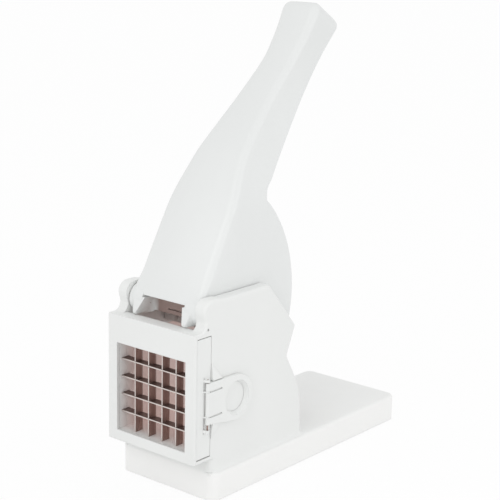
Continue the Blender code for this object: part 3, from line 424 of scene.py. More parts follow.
def moulded_plastic(name, finish, crevice_reach=2.5 * MM, warm=None, hollow=False, cast=(1, 1, 1)):
    """Satin injection-moulded plastic with faint flow marks, a painted highlight along its edges and
    painted shade in its crevices; a place mask adds painted light on the base's sides and painted shade,
    with a painted glow in the chamber.
    """
    s = Shader(name)
    rounded = s.soft_edge(finish.edge_soft)
    plain, marks = shades((finish.plastic, finish.plastic_flow), cast)
    edges, seams, base, hub, chamber, glow = shades((
        finish.painted_edge_highlight, finish.crevice_shade_tint, finish.base_painted_light, finish.hub_shade_tint, finish.chamber_shade_tint,
        finish.chamber_glow))
    flow = s.noise(scale=14.0, detail=4.0, stretch=(1, 1, 0.35))
    colour = s.mix(s.spread(flow, 0.35, 0.7), plain, marks)
    # Painted highlight: lighter colour along the edges, from the edge mask.
    colour = s.mix(s.product(s.edge_mask(rounded), 0.5), colour, edges)
    # Painted shade: darker warm colour in seams and corners, from the occlusion mask.
    colour = s.mix(s.product(s.crevice_shade(crevice_reach), finish.crevice_shade), colour, seams)
    if warm:
        at = s.axes()
        # Painted light: paler colour on the base's sides, below the base's top.
        colour = s.mix(s.spread(at["Z"], BASE_TOP + MM, BASE_TOP - 2 * MM), colour, base)
        amount = warm(s, at)
        if hollow:
            # Painted shade: warm darker colour deep in the hub and on the pusher near it.
            colour = s.mix(amount, colour, hub)
        else:
            # Painted shade deeper in the chamber, with a painted glow there from the emission.
            colour = s.mix(s.product(amount, finish.chamber), colour, chamber)
            s.paint(Emission_Color=glow, Emission_Strength=amount)
    scuffs = s.noise(scale=90.0, detail=6.0)
    rough = s.spread(scuffs, 0.3, 0.7, finish.plastic_rough - 0.05, finish.plastic_rough + 0.06)
    grain = s.bump(s.noise(scale=1400.0, detail=2.0), 0.02 * MM, 0.35, rounded)
    waves = s.bump(s.noise(scale=22.0, detail=2.0), 0.12 * MM, 0.3, grain)
    s.paint(Base_Color=colour, Roughness=rough, Normal=waves, IOR=1.49)
    return s.material


def rolled_steel(name, finish, stretch, edge_y=None, shade=1.0):
    """Rolled steel in brown tones that paint the reflection of the dark chamber, with grinding lines
    along the piece and a bright ground front edge.
    """
    s = Shader(name)
    # The brown steel tones paint the reflection of the dark chamber; a shade below 1 paints darker
    # copies.
    steel, dark, film = shades((finish.steel, finish.steel_dark, finish.steel_stain), (shade,) * 3)
    lines = s.noise(scale=260.0, detail=5.0, stretch=stretch)
    stain = s.noise(scale=45.0)
    colour = s.mix(s.spread(lines, 0.3, 0.7), steel, dark)
    colour = s.mix(s.spread(stain, 0.5, 0.8, 0.0, 0.35), colour, film)
    if edge_y is not None:
        ground = s.spread(s.axes()["Y"], edge_y + 0.35 * MM, edge_y + 0.2 * MM)
        colour = s.mix(ground, colour, (*finish.steel_edge, 1))
    rough = s.spread(lines, 0.3, 0.7, finish.steel_rough - 0.06, finish.steel_rough + 0.08)
    grooves = s.bump(lines, 0.01 * MM, 0.5, s.soft_edge(0.1 * MM))
    s.paint(Base_Color=colour, Roughness=rough, Normal=grooves, Metallic=finish.steel_metal)
    return s.material


def moulded_rubber(name, finish):
    """Matt moulded rubber with a pebbled skin and pale dust on its edges."""
    s = Shader(name)
    rubber, dust = shades((finish.rubber, finish.rubber_dust))
    rounded = s.soft_edge(0.4 * MM)
    speckle = s.noise(scale=500.0, detail=4.0)
    colour = s.mix(s.spread(speckle, 0.4, 0.7), rubber, dust)
    colour = s.mix(s.product(s.edge_mask(rounded), 0.4), colour, dust)
    pebbles = s.bump(speckle, 0.05 * MM, 0.6, rounded)
    s.paint(Base_Color=colour, Roughness=0.85, Normal=pebbles)
    return s.material


# Sizes and colours a user would change

def length_of(name, description, default_mm):
    return FloatProperty(name=name, description=description, default=default_mm * MM, min=0.0,
                         unit="LENGTH", subtype="DISTANCE", precision=4)


def colour_of(name, description, default):
    return FloatVectorProperty(name=name, description=description, default=default, size=3, min=0.0,
                               max=1.0, subtype="COLOR")


def share_of(name, description, default):
    return FloatProperty(name=name, description=description, default=default, min=0.0, max=1.0,
                         subtype="FACTOR")


class FRYCUTTER_PG_stand(bpy.types.PropertyGroup):
    """Sizes of the stand."""
    edge_round: length_of("Frame edges", "Rounding of the front frame's edges", 1.0)
    wall_round: length_of("Wall edges", "Rounding of the edges of the walls and ears", 2.2)
    bar_flat: length_of("Top bar", "Depth of the flat on the top bar, before its slope", 9.2)
    corner_round: length_of("Corner rounding", "Upright corners of the block under the frame", 5.0)
    base_round: length_of("Base rim", "Rounding of the base's top rim", 2.5)
    wedge_proud: length_of("Wedges", "How far the ramps by the ring stand out", 2.2)
    skirt: length_of("Skirt", "Fillet where the walls run out on the base", 6.0)
    ear_reach: length_of("Ear reach", "How far the ears reach in front of the pivot", 12.0)
    ear_round: length_of("Ear rounding", "Radius of the ears' front corner", 7.6)
    ear_neck: length_of("Ear neck", "How far the ears' neck stands in front of the pivot", 10.4)
    ear_flare: length_of("Ear flare", "Concave run of the ears into the top bar", 5.5)


class FRYCUTTER_PG_lever(bpy.types.PropertyGroup):
    """Sizes of the hand lever."""
    reach: length_of("Reach", "Length scale of the lever from its pivot", 230.0)
    front_round: length_of("Front edges", "Rounding of the two long front edges", 6.0)
    back_round: length_of("Back edges", "Rounding of the back edges", 1.2)
    crown: length_of("Crown", "How far the front swells between its edges", 3.2)
    tip_round: length_of("Tip rounding", "Rounding of the grip's end", 7.0)
    stations: IntProperty(name="Stations", description="Cross-sections of each half of the lever",
                          default=44, min=12, max=120)


class FRYCUTTER_PG_cassette(bpy.types.PropertyGroup):
    """Sizes of the cassette and its ring."""
    seam: length_of("Seam", "Gap between the two cassette halves", 0.12)
    sill_gap: length_of("Sill gap", "Gap under the cassette's end", 0.9)
    head_gap: length_of("Head gap", "Gap over the cassette's end", 0.5)
    slot_depth: length_of("Slot depth", "Depth of the slot in front of the knuckles", 1.0)
    slot_width: length_of("Slot width", "Width of the slot in front of the knuckles", 0.65)
    slot_narrow: length_of("Narrow slot", "Width of that slot between the tab's slits", 0.15)
    slit_width: length_of("Slit width", "Height of the tab's slits", 1.1)
    slit_depth: length_of("Slit depth", "Depth of the tab's slits behind the knuckles", 1.0)
    slit_rise: length_of("Slit rise", "How far the tab's slits sit above the ring's axis", 1.2)
    slit_offset: length_of("Slit offset", "Half the distance between the two slits", 8.9)
    tab_rise: length_of("Tab foot", "How far the tab's lower edge sits above the hinge's", 3.4)
    ring_radius: length_of("Ring radius", "Outer radius of the pull ring", 16.2)
    ring_reach: length_of("Ring reach", "Distance of the ring's middle from the hinge", 28.9)
    ring_drop: length_of("Ring drop", "How far the ring's middle sits below the hinge's", 0.9)
    ring_hole: length_of("Ring hole", "Radius of the finger hole at the outer face", 12.3)
    ring_dish: length_of("Ring dish", "How much the finger hole narrows towards the wall", 2.0)
    ring_edge: length_of("Ring edge", "Rounding of the ring's edges", 0.8)


class FRYCUTTER_PG_finish(bpy.types.PropertyGroup):
    """Colours and surface values."""
    plastic: colour_of("Plastic", "Body colour of the moulded plastic", (0.80, 0.81, 0.80))
    plastic_flow: colour_of("Flow marks", "Colour of the faint flow marks", (0.83, 0.84, 0.83))
    # Painted highlight along the plastic's edges.
    painted_edge_highlight: colour_of("Polished edges", "Colour along handled edges", (0.88, 0.89, 0.88))
    lever_cast: colour_of("Lever cast", "Tint of the lever's plastic", (0.965, 0.97, 0.975))
    # Painted shade in seams and corners.
    crevice_shade_tint: colour_of("Crevices", "Colour deep in the seams", (0.42, 0.36, 0.33))
    # Painted shade deep in the chamber, and its painted glow.
    chamber_shade_tint: colour_of("Chamber", "Warm tint inside the potato chamber", (0.50, 0.38, 0.35))
    chamber_glow: colour_of("Chamber glow", "Light through the chamber's walls", (0.17, 0.12, 0.11))
    # Painted shade inside the hub and on the pusher near it.
    hub_shade_tint: colour_of("Hub", "Warm tint inside the lever's hub", (0.37, 0.27, 0.245))
    # Painted light on the base's sides.
    base_painted_light: colour_of("Base", "Paler colour of the base's sides", (0.90, 0.90, 0.89))
    plastic_rough: share_of("Plastic roughness", "Roughness of the plastic", 0.42)
    # Amount of the painted shade in seams and corners.
    crevice_shade: share_of("Crevice amount", "How strongly the seams are tinted", 0.2)
    # Amount of the chamber's painted shade.
    chamber: share_of("Chamber amount", "How strongly the chamber is tinted", 0.6)
    edge_soft: length_of("Soft edge", "Radius over which edges catch the light", 0.5)
    # Steel, its lines and its stain: brown tones that paint the reflection of the dark chamber.
    steel: colour_of("Steel", "Polished steel", (0.36, 0.25, 0.22))
    steel_dark: colour_of("Steel lines", "Grinding lines", (0.26, 0.17, 0.15))
    steel_stain: colour_of("Steel stain", "Starch film on the blades", (0.40, 0.29, 0.26))
    steel_edge: colour_of("Ground edge", "Bright ground front edge", (0.68, 0.62, 0.59))
    # Painted shade: how much darker the level blades' copy of the steel is.
    level_blade_painted_shade: share_of("Level blades", "Shade of the blades that lie level", 0.5)
    steel_rough: share_of("Steel roughness", "Roughness of the steel", 0.30)
    steel_metal: share_of("Steel metal", "How metallic the filmed steel is", 0.6)
    rubber: colour_of("Rubber", "Foot rubber", (0.055, 0.055, 0.058))
    rubber_dust: colour_of("Rubber dust", "Dust on the rubber", (0.13, 0.13, 0.13))


class FRYCUTTER_PG_stage(bpy.types.PropertyGroup):
    """Light, floor and camera."""
    sky: FloatProperty(name="Sky", description="Strength of the even light", default=0.86, min=0.0)
    key: FloatProperty(name="Key light", description="Power of the front light", default=4.0, min=0.0)
    fill: FloatProperty(name="Fill light", description="Power of the side light", default=2.6, min=0.0)
    floor: colour_of("Floor", "Colour of the floor", (0.92, 0.92, 0.92))
    lens: FloatProperty(name="Lens", description="Focal length in mm", default=98.316, min=1.0)


def sizes(context, part):
    return getattr(context.scene, "frycutter_" + part)


# Stand, drawn from the side in (y, z)

EAR_CROWN = ((PIVOT_Y, EAR_TOP), (PIVOT_Y + 3 * MM, EAR_TOP - 0.15 * MM), (PIVOT_Y + 7 * MM, WALL_TOP))
PEAK = (PIVOT_Y + 55.5 * MM, WALL_TOP)
SHOULDER = (PIVOT_Y + 86.3 * MM, WALL_TOP - 35.3 * MM)
WAIST = (PIVOT_Y + 77.4 * MM, WALL_TOP - 56.3 * MM)
HEEL = (PIVOT_Y + 96.0 * MM, BASE_TOP)
HEEL_MIDDLE = ((WAIST[0] + HEEL[0]) / 2 + 6 * MM, (WAIST[1] + HEEL[1]) / 2 + 3 * MM)
SHOULDER_ROUND = 3.0 * MM
WAIST_ROUND = 4.0 * MM
WALL_SUNK = 2.0 * MM
SKIRT_SUNK = 0.2 * MM
BAR_ROUND = 3.0 * MM
BAR_BACK = SLOT_TOP + 0.6 * MM
WEDGE_LENGTH = 9.4 * MM
WEDGE_HEIGHT = 12.0 * MM
PIT_RADIUS = 0.9 * MM
PIT_DEPTH = 3.0 * MM
PIT_PLACE = (12.7 * MM, 123.3 * MM)
BASE_CORNER = 7.0 * MM
COVER_RIM = 2.7 * MM
COVER_THICKNESS = 2.5 * MM


def base_block(bm, s):
    """Base with rounded upright corners and a rounded top rim behind the frame."""
    outline = rounded_rectangle((-HALF_BASE, FRAME_DEPTH), (HALF_BASE, OVERALL_LENGTH), BASE_CORNER, 10)
    top = add_prism(bm, outline, FOOT_PROUD, BASE_TOP, "Z")[1]
    rim = [edge for edge in top.edges if max(vert.co.y for vert in edge.verts) > FRAME_DEPTH + GAP]
    round_edges(bm, rim, s.base_round, 6)


def side_outline(s):
    """Side view of the stand above its base: frame, flare, ear, wall top, shoulder, waist and heel."""
    neck, front = PIVOT_Y - s.ear_neck, PIVOT_Y - s.ear_reach
    foot, corner = FRAME_TOP + s.ear_flare, EAR_TOP - s.ear_round
    ear = [(neck + (front - neck) * ease(i / 5), foot + (corner - foot) * i / 5) for i in range(5)]
    ear += arc((front + s.ear_round, corner), s.ear_round, math.pi, QUARTER, 8)
    ear += EAR_CROWN
    back = [tuple(point) for point in spline((WAIST, HEEL_MIDDLE, HEEL), 14)]
    outline = [(0, FRAME_BOTTOM), (0, FRAME_TOP)]
    outline += arc((neck - s.ear_flare, foot), s.ear_flare, -QUARTER, 0, 12)[:9]
    outline += [tuple(point) for point in spline(ear, 3)]
    outline += round_corner(outline[-1], PEAK, SHOULDER, SHOULDER_ROUND)
    outline += round_corner(PEAK, SHOULDER, WAIST, SHOULDER_ROUND)
    outline += round_corner(SHOULDER, WAIST, back[1], WAIST_ROUND)
    outline += back[2:]
    foot = BASE_TOP - WALL_SUNK
    return outline + [(HEEL[0], foot), (FRAME_DEPTH, foot), (FRAME_DEPTH, FRAME_BOTTOM)]


def edge_radius(point, s):
    """Rounding of the side form's rim: small on the frame, growing up the flare to that of the walls."""
    if point[0] > PIVOT_Y:
        return s.wall_round
    grow = min(max((point[1] - FRAME_TOP) / s.ear_flare, 0), 1)
    return s.edge_round + (s.wall_round - s.edge_round) * grow


def inset_outline(outline, amounts):
    """Moves each corner of a closed outline inwards by its own amount."""
    moved = []
    for i, amount in enumerate(amounts):
        before, point, after = (Vector(outline[(i + step) % len(outline)]) for step in (-1, 0, 1))
        sides = [Vector((way.y, -way.x)).normalized() for way in (point - before, after - point)]
        side = (sides[0] + sides[1]).normalized()
        moved.append(point + side * (amount / side.dot(sides[0])))
    return moved


def side_form(bm, s, steps=8):
    """Frame and walls as one solid, its outline drawn in round both of its rims."""
    outline = side_outline(s)
    radii = [edge_radius(point, s) for point in outline]
    half = []
    for i in range(steps + 1):
        angle = QUARTER * i / steps
        points = inset_outline(outline, [radius * (1 - math.sin(angle)) for radius in radii])
        sides = [HALF_FRONT - radius * (1 - math.cos(angle)) for radius in radii]
        half.append([(x, *point) for x, point in zip(sides, points)])
    loft(bm, [[(-x, y, z) for x, y, z in ring] for ring in half] + half[::-1])


def skirt_solid(bm, s, steps=8):
    """Concave fillet round the foot of the walls, each ring bridged to the one before."""
    rim = None
    for i in range(steps + 1):
        angle = QUARTER * i / steps
        spread = 1 - math.cos(angle)
        side = (HALF_BASE - HALF_FRONT - s.base_round / 2) * spread
        low = (-HALF_FRONT - side, FRAME_DEPTH + s.edge_round)
        high = (HALF_FRONT + side, HEEL[0] + s.skirt * spread)
        height = BASE_TOP + s.skirt * (1 - math.sin(angle)) - SKIRT_SUNK
        outline = rounded_rectangle(low, high, s.corner_round + side)
        ring = [bm.verts.new((x, y, height)) for x, y in outline]
        edges = [bm.edges.new(ends) for ends in zip(ring, ring[1:] + ring[:1])]
        if rim:
            bmesh.ops.bridge_loops(bm, edges=rim + edges)
        else:
            bm.faces.new(ring)
        rim = edges
    bm.faces.new(ring)


def corner_cuts(bm, s):
    """What is cut off the block's two upright corners, between the base and the frame."""
    flat, face = HALF_FRONT - s.corner_round, FRAME_DEPTH + s.corner_round
    out, front = HALF_FRONT + OVERRUN, FRAME_DEPTH - OVERRUN
    corner = arc((flat, face), s.corner_round, -QUARTER, 0, 10)
    corner += [(out, face), (out, front), (flat, front)]
    for side in (-1, 1):
        add_prism(bm, [(side * x, y) for x, y in corner], BASE_TOP, FRAME_BOTTOM, "Z")


def channel_outline(s):
    """Side view of the potato channel, with the slope behind the top bar."""
    front, rear, top, edge = -OVERRUN, OVERALL_LENGTH, EAR_TOP + OVERRUN, (FRAME_DEPTH, BAR_BACK)
    bar = round_corner((0, FRAME_TOP), (s.bar_flat, FRAME_TOP), edge, BAR_ROUND)
    outline = [(FRAME_DEPTH, FLOOR), (rear, FLOOR), (rear, top), (front, top), (front, FRAME_TOP)]
    return outline + bar + [edge]


def wall_wedges(bm, s, tab_rise):
    """Ramps on the right wall, above and below the root of the pull ring."""
    sunk = HALF_FRONT - s.edge_round
    for side, reach in ((-1, HALF_HINGE - tab_rise), (1, HALF_HINGE)):
        foot = RING_AXIS.z + side * (reach + GAP)
        points = [(x, y, foot) for x in (sunk, HALF_FRONT + s.wedge_proud)
                  for y in (FRAME_DEPTH, FRAME_DEPTH + WEDGE_LENGTH)]
        points += [(x, FRAME_DEPTH, foot + side * WEDGE_HEIGHT) for x in (sunk, HALF_FRONT + GAP)]
        bmesh.ops.convex_hull(bm, input=[bm.verts.new(point) for point in points])


def cover_seat(bm):
    """Hollow under the base that takes its cover."""
    low = (COVER_RIM - HALF_BASE, FRAME_DEPTH + COVER_RIM)
    high = (HALF_BASE - COVER_RIM, OVERALL_LENGTH - COVER_RIM)
    outline = rounded_rectangle(low, high, BASE_CORNER - COVER_RIM)
    add_prism(bm, outline, FOOT_PROUD - OVERRUN, FOOT_PROUD + COVER_THICKNESS + GAP, "Z")


def build_stand(context):
    s, finish = sizes(context, "stand"), sizes(context, "finish")
    stand = solid("stand_shape", base_block, s)
    join(stand, side_form, s)
    cut(stand, corner_cuts, s)
    join(stand, skirt_solid, s)
    cut(stand, add_prism, channel_outline(s), -HALF_CHANNEL, HALF_CHANNEL)
    cut(stand, add_block, (-HALF_FRONT + BLIND_WALL, FACE, SLOT_BOTTOM),
        (HALF_FRONT + OVERRUN, FRAME_DEPTH, SLOT_TOP))
    cut(stand, add_block, (-HALF_WINDOW, -OVERRUN, WINDOW_BOTTOM), (HALF_WINDOW, FACE + GAP, WINDOW_TOP))
    join(stand, wall_wedges, s, sizes(context, "cassette").tab_rise)
    cut(stand, add_rod, PIT_RADIUS, (HALF_FRONT - PIT_DEPTH, *PIT_PLACE), (HALF_FRONT + MM, *PIT_PLACE))
    cut(stand, cover_seat)
    plastic = moulded_plastic("stand_plastic", finish, 1.5 * MM, chamber_depth)
    finish_piece(stand, "stand_body", "frame", plastic, ["stand"], TO_FRONT)


# Lever, drawn about its pivot in (y, z) while it stands open, its profile in shares of its reach

FRONT_PROFILE = ((0.037, 0.151), (0.110, 0.282), (0.179, 0.399), (0.2285, 0.4605), (0.359, 0.590),
                 (0.455, 0.683), (0.507, 0.748), (0.539, 0.796), (0.5645, 0.842))
BACK_END = (0.682, 0.773)
WIDTHS = ((0.0, 1.0), (0.24, 0.965), (0.31, 0.92), (0.40, 0.77), (0.51, 0.61), (0.60, 0.51),
          (0.69, 0.465), (0.77, 0.495), (0.83, 0.525))
FRONT_NECK = 0.375
FRONT_OFFSET = 9.2 * MM

# Neck between the belly and the grip, in shares of the belly's radius
NECK = ((0.695, 0.717), (0.701, 0.769), (0.725, 0.815), (0.769, 0.853))
NECK_STEPS = 11
BELLY_MARGIN = math.radians(2.0)

# Mouth over the pusher, its front drawn clear of the pins
MOUTH_ANGLE = OPEN_ANGLE - QUARTER
MOUTH_START = 12.5 * MM
MOUTH_TURN = math.radians(50.0)
MOUTH_CLEARANCE = 3.1 * MM
MOUTH_EDGE = 1.5 * MM
LEAST_EDGE = 0.4 * MM
GROW_STEPS = 10

# Hub: cheeks, barrels, web with its slit, the window between the cheeks and the pins' bores
TOE_REACH = 14.6 * MM
TOE_ROUND = 1.6 * MM
CHEEK_INNER = 16.0 * MM
CHEEK_OUTER = 23.5 * MM
CHEEK_BLEND = 3.5 * MM
BARREL_INNER = 19.3 * MM
BARREL_OUTER = HALF_CHANNEL - 0.5 * MM
BARREL_EDGE = 0.6 * MM
WINDOW_HEAD = 4.6 * MM
WINDOW_HEAD_HALF = 16.6 * MM
WINDOW_FOOT_HALF = 21.9 * MM
WINDOW_CORNER = 4.5 * MM
WEB_HALF = 23.0 * MM
WEB_SUNK = 2.0 * MM
WEB_FRONT = 3.4 * MM
WEB_BACK = WEB_FRONT + 1.6 * MM
WEB_FOOT = -8.4 * MM
SLIT_HALF = 6.6 * MM
SLIT_FOOT = -5.8 * MM
SLIT_HEAD = -4.9 * MM
PIN_SUNK = 2.0 * MM


def half_width(z, s):
    """Half the lever's width at a height above the pivot."""
    height = z / s.reach
    if height <= 0:
        return HALF_LEVER
    path = spline(WIDTHS, 12)
    for a, b in zip(path, path[1:]):
        if height <= b.x:
            return HALF_LEVER * (a.y + (b.y - a.y) * (height - a.x) / (b.x - a.x))
    return HALF_LEVER * path[-1].y


def front_point(height, s):
    """Point of the lever's straight lower front at a height above the pivot."""
    a, b = (Vector(p) * s.reach for p in FRONT_PROFILE[:2])
    way = (b - a).normalized()
    foot = Vector((-way.y, way.x)) * FRONT_OFFSET
    return foot + way * ((height - foot.y) / way.y)


def lever_paths(s):
    """Matching points up the lever's front and back, from the mouth to the grip's end."""
    count = s.stations
    mouth = Vector((math.cos(MOUTH_ANGLE), math.sin(MOUTH_ANGLE)))
    path = spline([front_point(WINDOW_HEAD, s)] + [Vector(p) * s.reach for p in FRONT_PROFILE], 16)
    inner = Matrix.Rotation(MOUTH_TURN, 2) @ (mouth * (PIN_RADIUS + MOUTH_CLEARANCE))
    fronts = [mouth * MOUTH_START, inner]
    fronts += [at_share(path, FRONT_NECK * i / count) for i in range(count + 1)]
    fronts += [at_share(path, FRONT_NECK + (1 - FRONT_NECK) * i / count) for i in range(1, count + 1)]
    neck = [Vector(p) * BELLY_RADIUS for p in NECK]
    belly_end = neck[0].angle_signed(Vector((1, 0))) - BELLY_MARGIN
    belly = arc((0, 0), BELLY_RADIUS, MOUTH_ANGLE, belly_end, count + 1 - NECK_STEPS)
    backs = [Vector(p) for p in belly]
    bend = spline([backs[-1]] + neck, 8)[1:]
    backs += [at_share(bend, i / NECK_STEPS) for i in range(NECK_STEPS + 1)]
    start, end = backs[-1], Vector(BACK_END) * s.reach
    return fronts, backs + [start.lerp(end, i / count) for i in range(1, count + 1)]


def section(front, back, edge, back_edge, inset, crown, s):
    """Rounded, crowned cross-section between a front and a back point."""
    depth = (back - front).length
    way = (back - front) / depth
    wide, narrow = half_width(front.y, s) - inset, half_width(back.y, s) - inset
    edge, back_edge = max(edge - inset, LEAST_EDGE), max(back_edge - inset, LEAST_EDGE)
    right = arc((wide - edge, edge), edge, -QUARTER, 0, 8)
    right += arc((narrow - back_edge, depth - back_edge), back_edge, 0, QUARTER, 4)
    middle = [((wide - edge) * i / 6, -crown * (1 - (i / 6) ** 2)) for i in range(-5, 6)]
    ring = right + [(-x, d) for x, d in reversed(right)] + middle
    return [(x, front.x + way.x * d, front.y + way.y * d) for x, d in ring]


def lever_sections(s):
    """Cross-sections up the lever, then those of the grip's rounded end."""
    fronts, backs = lever_paths(s)
    rings = []
    for i, (front, back) in enumerate(zip(fronts, backs)):
        grow = min(max(i - 1, 0) / GROW_STEPS, 1)
        edge = MOUTH_EDGE + (s.front_round - MOUTH_EDGE) * grow
        crown = s.crown * grow * (half_width(front.y, s) / HALF_LEVER) ** 2
        rings.append(section(front, back, edge, s.back_round, 0, crown, s))
    way = (front - fronts[-2]).normalized()
    across = (back - front).normalized()
    for i in range(1, 11):
        angle = QUARTER * i / 10
        inset = s.tip_round * (1 - math.cos(angle))
        shift = way * s.tip_round * math.sin(angle)
        low, high = front + shift + across * inset, back + shift - across * inset
        rings.append(section(low, high, s.front_round, s.back_round, inset, crown * math.cos(angle), s))
    return rings


def cheek_sections(s, side):
    """Hub cheek: a toe on the frame's top bar that eases sideways into the round of the barrel."""
    sole = FRAME_TOP - PIVOT_Z + GAP
    top, toe = tuple(front_point(PIN_RADIUS, s)), (-TOE_REACH, sole)
    heel = (-math.sqrt(BARREL_RADIUS ** 2 - sole ** 2), sole)
    rim = [Vector(p) for p in [top] + round_corner(top, toe, heel, TOE_ROUND) + [heel]]
    start, end = (math.atan2(point.y, point.x) for point in (rim[0], rim[-1]))
    barrel = [Vector(p) for p in arc((0, 0), BARREL_RADIUS, start, end + 2 * math.pi, len(rim) - 1)]
    core = [(0, -PIN_RADIUS), (0, PIN_RADIUS)]
    rings = [[(side * CHEEK_INNER, *point) for point in core + rim]]
    for i in range(11):
        x = side * (CHEEK_OUTER + CHEEK_BLEND * i / 10)
        edge = [near.lerp(far, ease(i / 10)) for near, far in zip(rim, barrel)]
        rings.append([(x, *point) for point in core + edge])
    return rings


def add_barrel(bm, side):
    """Round end of the hub about one pin."""
    start, end = sorted((side * BARREL_INNER, side * BARREL_OUTER))
    add_rod(bm, BARREL_RADIUS, (start, 0, 0), (end, 0, 0), "X", 96)
    caps = [face for face in bm.faces if len(face.verts) > 8]
    round_edges(bm, rim_of(*caps), BARREL_EDGE)


def hub_window(bm):
    """Trapezoid opening between the two cheeks, with rounded corners at the web."""
    foot = FRAME_TOP - PIVOT_Z
    flare = (WINDOW_FOOT_HALF - WINDOW_HEAD_HALF) / (WINDOW_HEAD - foot)
    low, wide, head = foot - OVERRUN, WINDOW_FOOT_HALF + flare * OVERRUN, WINDOW_HEAD_HALF
    outline = [(-wide, low), (wide, low), (head, WINDOW_HEAD), (-head, WINDOW_HEAD)]
    front = bm.faces.new([bm.verts.new((x, -TOE_REACH - OVERRUN, z)) for x, z in outline])
    moved = bmesh.ops.extrude_face_region(bm, geom=[front])["geom"]
    way = (0, TOE_REACH + OVERRUN + WEB_FRONT, 0)
    bmesh.ops.translate(bm, verts=of_type(moved, bmesh.types.BMVert), vec=way)
    rear = of_type(moved, bmesh.types.BMFace)[0]
    corners = [edge for edge in rear.edges if max(vert.co.z for vert in edge.verts) > 0]
    round_edges(bm, corners, WINDOW_CORNER, 6)


def pin_bores(bm):
    """Bores of the two stub pins, which end short of the pins' inner ends."""
    for name in ("pivot_pin_left", "pivot_pin_right"):
        low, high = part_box(name)
        inner, outer = (high.x, low.x) if low.x < 0 else (low.x, high.x)
        side = math.copysign(1, outer)
        start, end = sorted((inner + side * PIN_SUNK, outer + side * OVERRUN))
        add_rod(bm, PIN_RADIUS + GAP, (start, 0, 0), (end, 0, 0))


def build_lever(context):
    s, finish = sizes(context, "lever"), sizes(context, "finish")
    lever = solid("lever_shape", loft, lever_sections(s))
    for side in (-1, 1):
        join(lever, add_barrel, side)
        join(lever, loft, cheek_sections(s, side))
    join(lever, add_block, (-WEB_HALF, -WEB_SUNK, WEB_FOOT), (WEB_HALF, WEB_BACK, WINDOW_HEAD))
    cut(lever, hub_window)
    cut(lever, pin_bores)
    cut(lever, add_block, (-SLIT_HALF, 0, SLIT_FOOT), (SLIT_HALF, WEB_FRONT + OVERRUN, SLIT_HEAD))
    plastic = moulded_plastic("lever_plastic", finish, 1.5 * MM, hub_depth, True, finish.lever_cast)
    finish_piece(lever, "hand_lever", "lever", plastic, ["lever"], Matrix.Translation(PIVOT))


# Pusher, drawn about the pivot while the lever is pressed down

PLATE = 3.0 * MM
PLATE_HEAD = -12.5 * MM
PLATE_ROUND = 0.6 * MM
STUD_ENTRY = 2.3 * MM
STUD_CLEARANCE = 0.75 * MM
STUD_TAPER = 0.3 * MM
STUD_ROUND = 0.5 * MM


def pusher_plate(bm):
    verts = add_block(bm, (-HALF_LEVER, -PLATE - GAP, -BELLY_RADIUS), (HALF_LEVER, -GAP, PLATE_HEAD))
    round_edges(bm, edges_at(verts), PLATE_ROUND)


def add_studs(bm):
    """One stud for each cell of the grid, tapered and rounded at its tip."""
    reach = PIVOT_Y - BLADE_BACK + STUD_ENTRY
    half = (CELL_PITCH - BLADE_THICKNESS) / 2 - STUD_CLEARANCE
    slim = 1 - STUD_TAPER / half
    for row in range(CELLS):
        for column in range(CELLS):
            x = -HALF_WINDOW + (column + 0.5) * CELL_PITCH
            z = WINDOW_TOP - PIVOT_Z - (row + 0.5) * CELL_PITCH
            verts = add_block(bm, (x - half, -reach, z - half), (x + half, -PLATE / 2, z + half))
            tips = [vert for vert in verts if vert.co.y < -PLATE]
            bmesh.ops.scale(bm, vec=(slim, 1, slim), space=Matrix.Translation((-x, 0, -z)), verts=tips)
            round_edges(bm, edges_at(tips), STUD_ROUND, 2)


def build_pusher(context):
    finish = sizes(context, "finish")
    pusher = solid("pusher_shape", pusher_plate)
    join(pusher, add_studs)
    place = Matrix.Translation(PIVOT) @ Matrix.Rotation(OPEN_ANGLE, 4, "X")
    plastic = moulded_plastic("pusher_plastic", finish, 1.5 * MM, pusher_depth, True)
    finish_piece(pusher, "studded_pusher", "lever", plastic, ["pusher"], place)


# Blade cassette

END_SEAT = 0.03 * MM
END_GAP_DEPTH = 2.0 * MM
POCKET_HALF = BLADE_THICKNESS / 2 + 0.15 * MM
POCKET_END = 4.0 * MM + GAP
POCKET_BACK = CASSETTE_BACK - 3.0 * MM
HINGE_REACH = HALF_HINGE + GAP + 2.2 * MM
LUG_STEP = 0.1 * MM
NARROW_DEPTH = 0.3 * MM
LUG_BORE = 0.7 * MM


def blade_places(origin):
    return [origin + (i + 1) * CELL_PITCH for i in range(CELLS - 1)]


def end_gaps(bm, s):
    """Narrow gaps over and under the cassette's end."""
    for low, high in ((SLOT_BOTTOM, SLOT_BOTTOM + s.sill_gap), (SLOT_TOP - s.head_gap, SLOT_TOP)):
        add_block(bm, (HALF_FRONT - END_GAP_DEPTH, FACE, low),
                  (HALF_FRONT + MM, CASSETTE_BACK + MM, high))


def upright_pockets(bm, near, far):
    low, high = WINDOW_BOTTOM - POCKET_END, WINDOW_TOP + POCKET_END
    for x in blade_places(-HALF_WINDOW):
        add_block(bm, (x - POCKET_HALF, near, low), (x + POCKET_HALF, far, high))


def level_pockets(bm, near, far):
    side = HALF_WINDOW + POCKET_END
    for z in blade_places(WINDOW_BOTTOM):
        add_block(bm, (-side, near, z - POCKET_HALF), (side, far, z + POCKET_HALF))


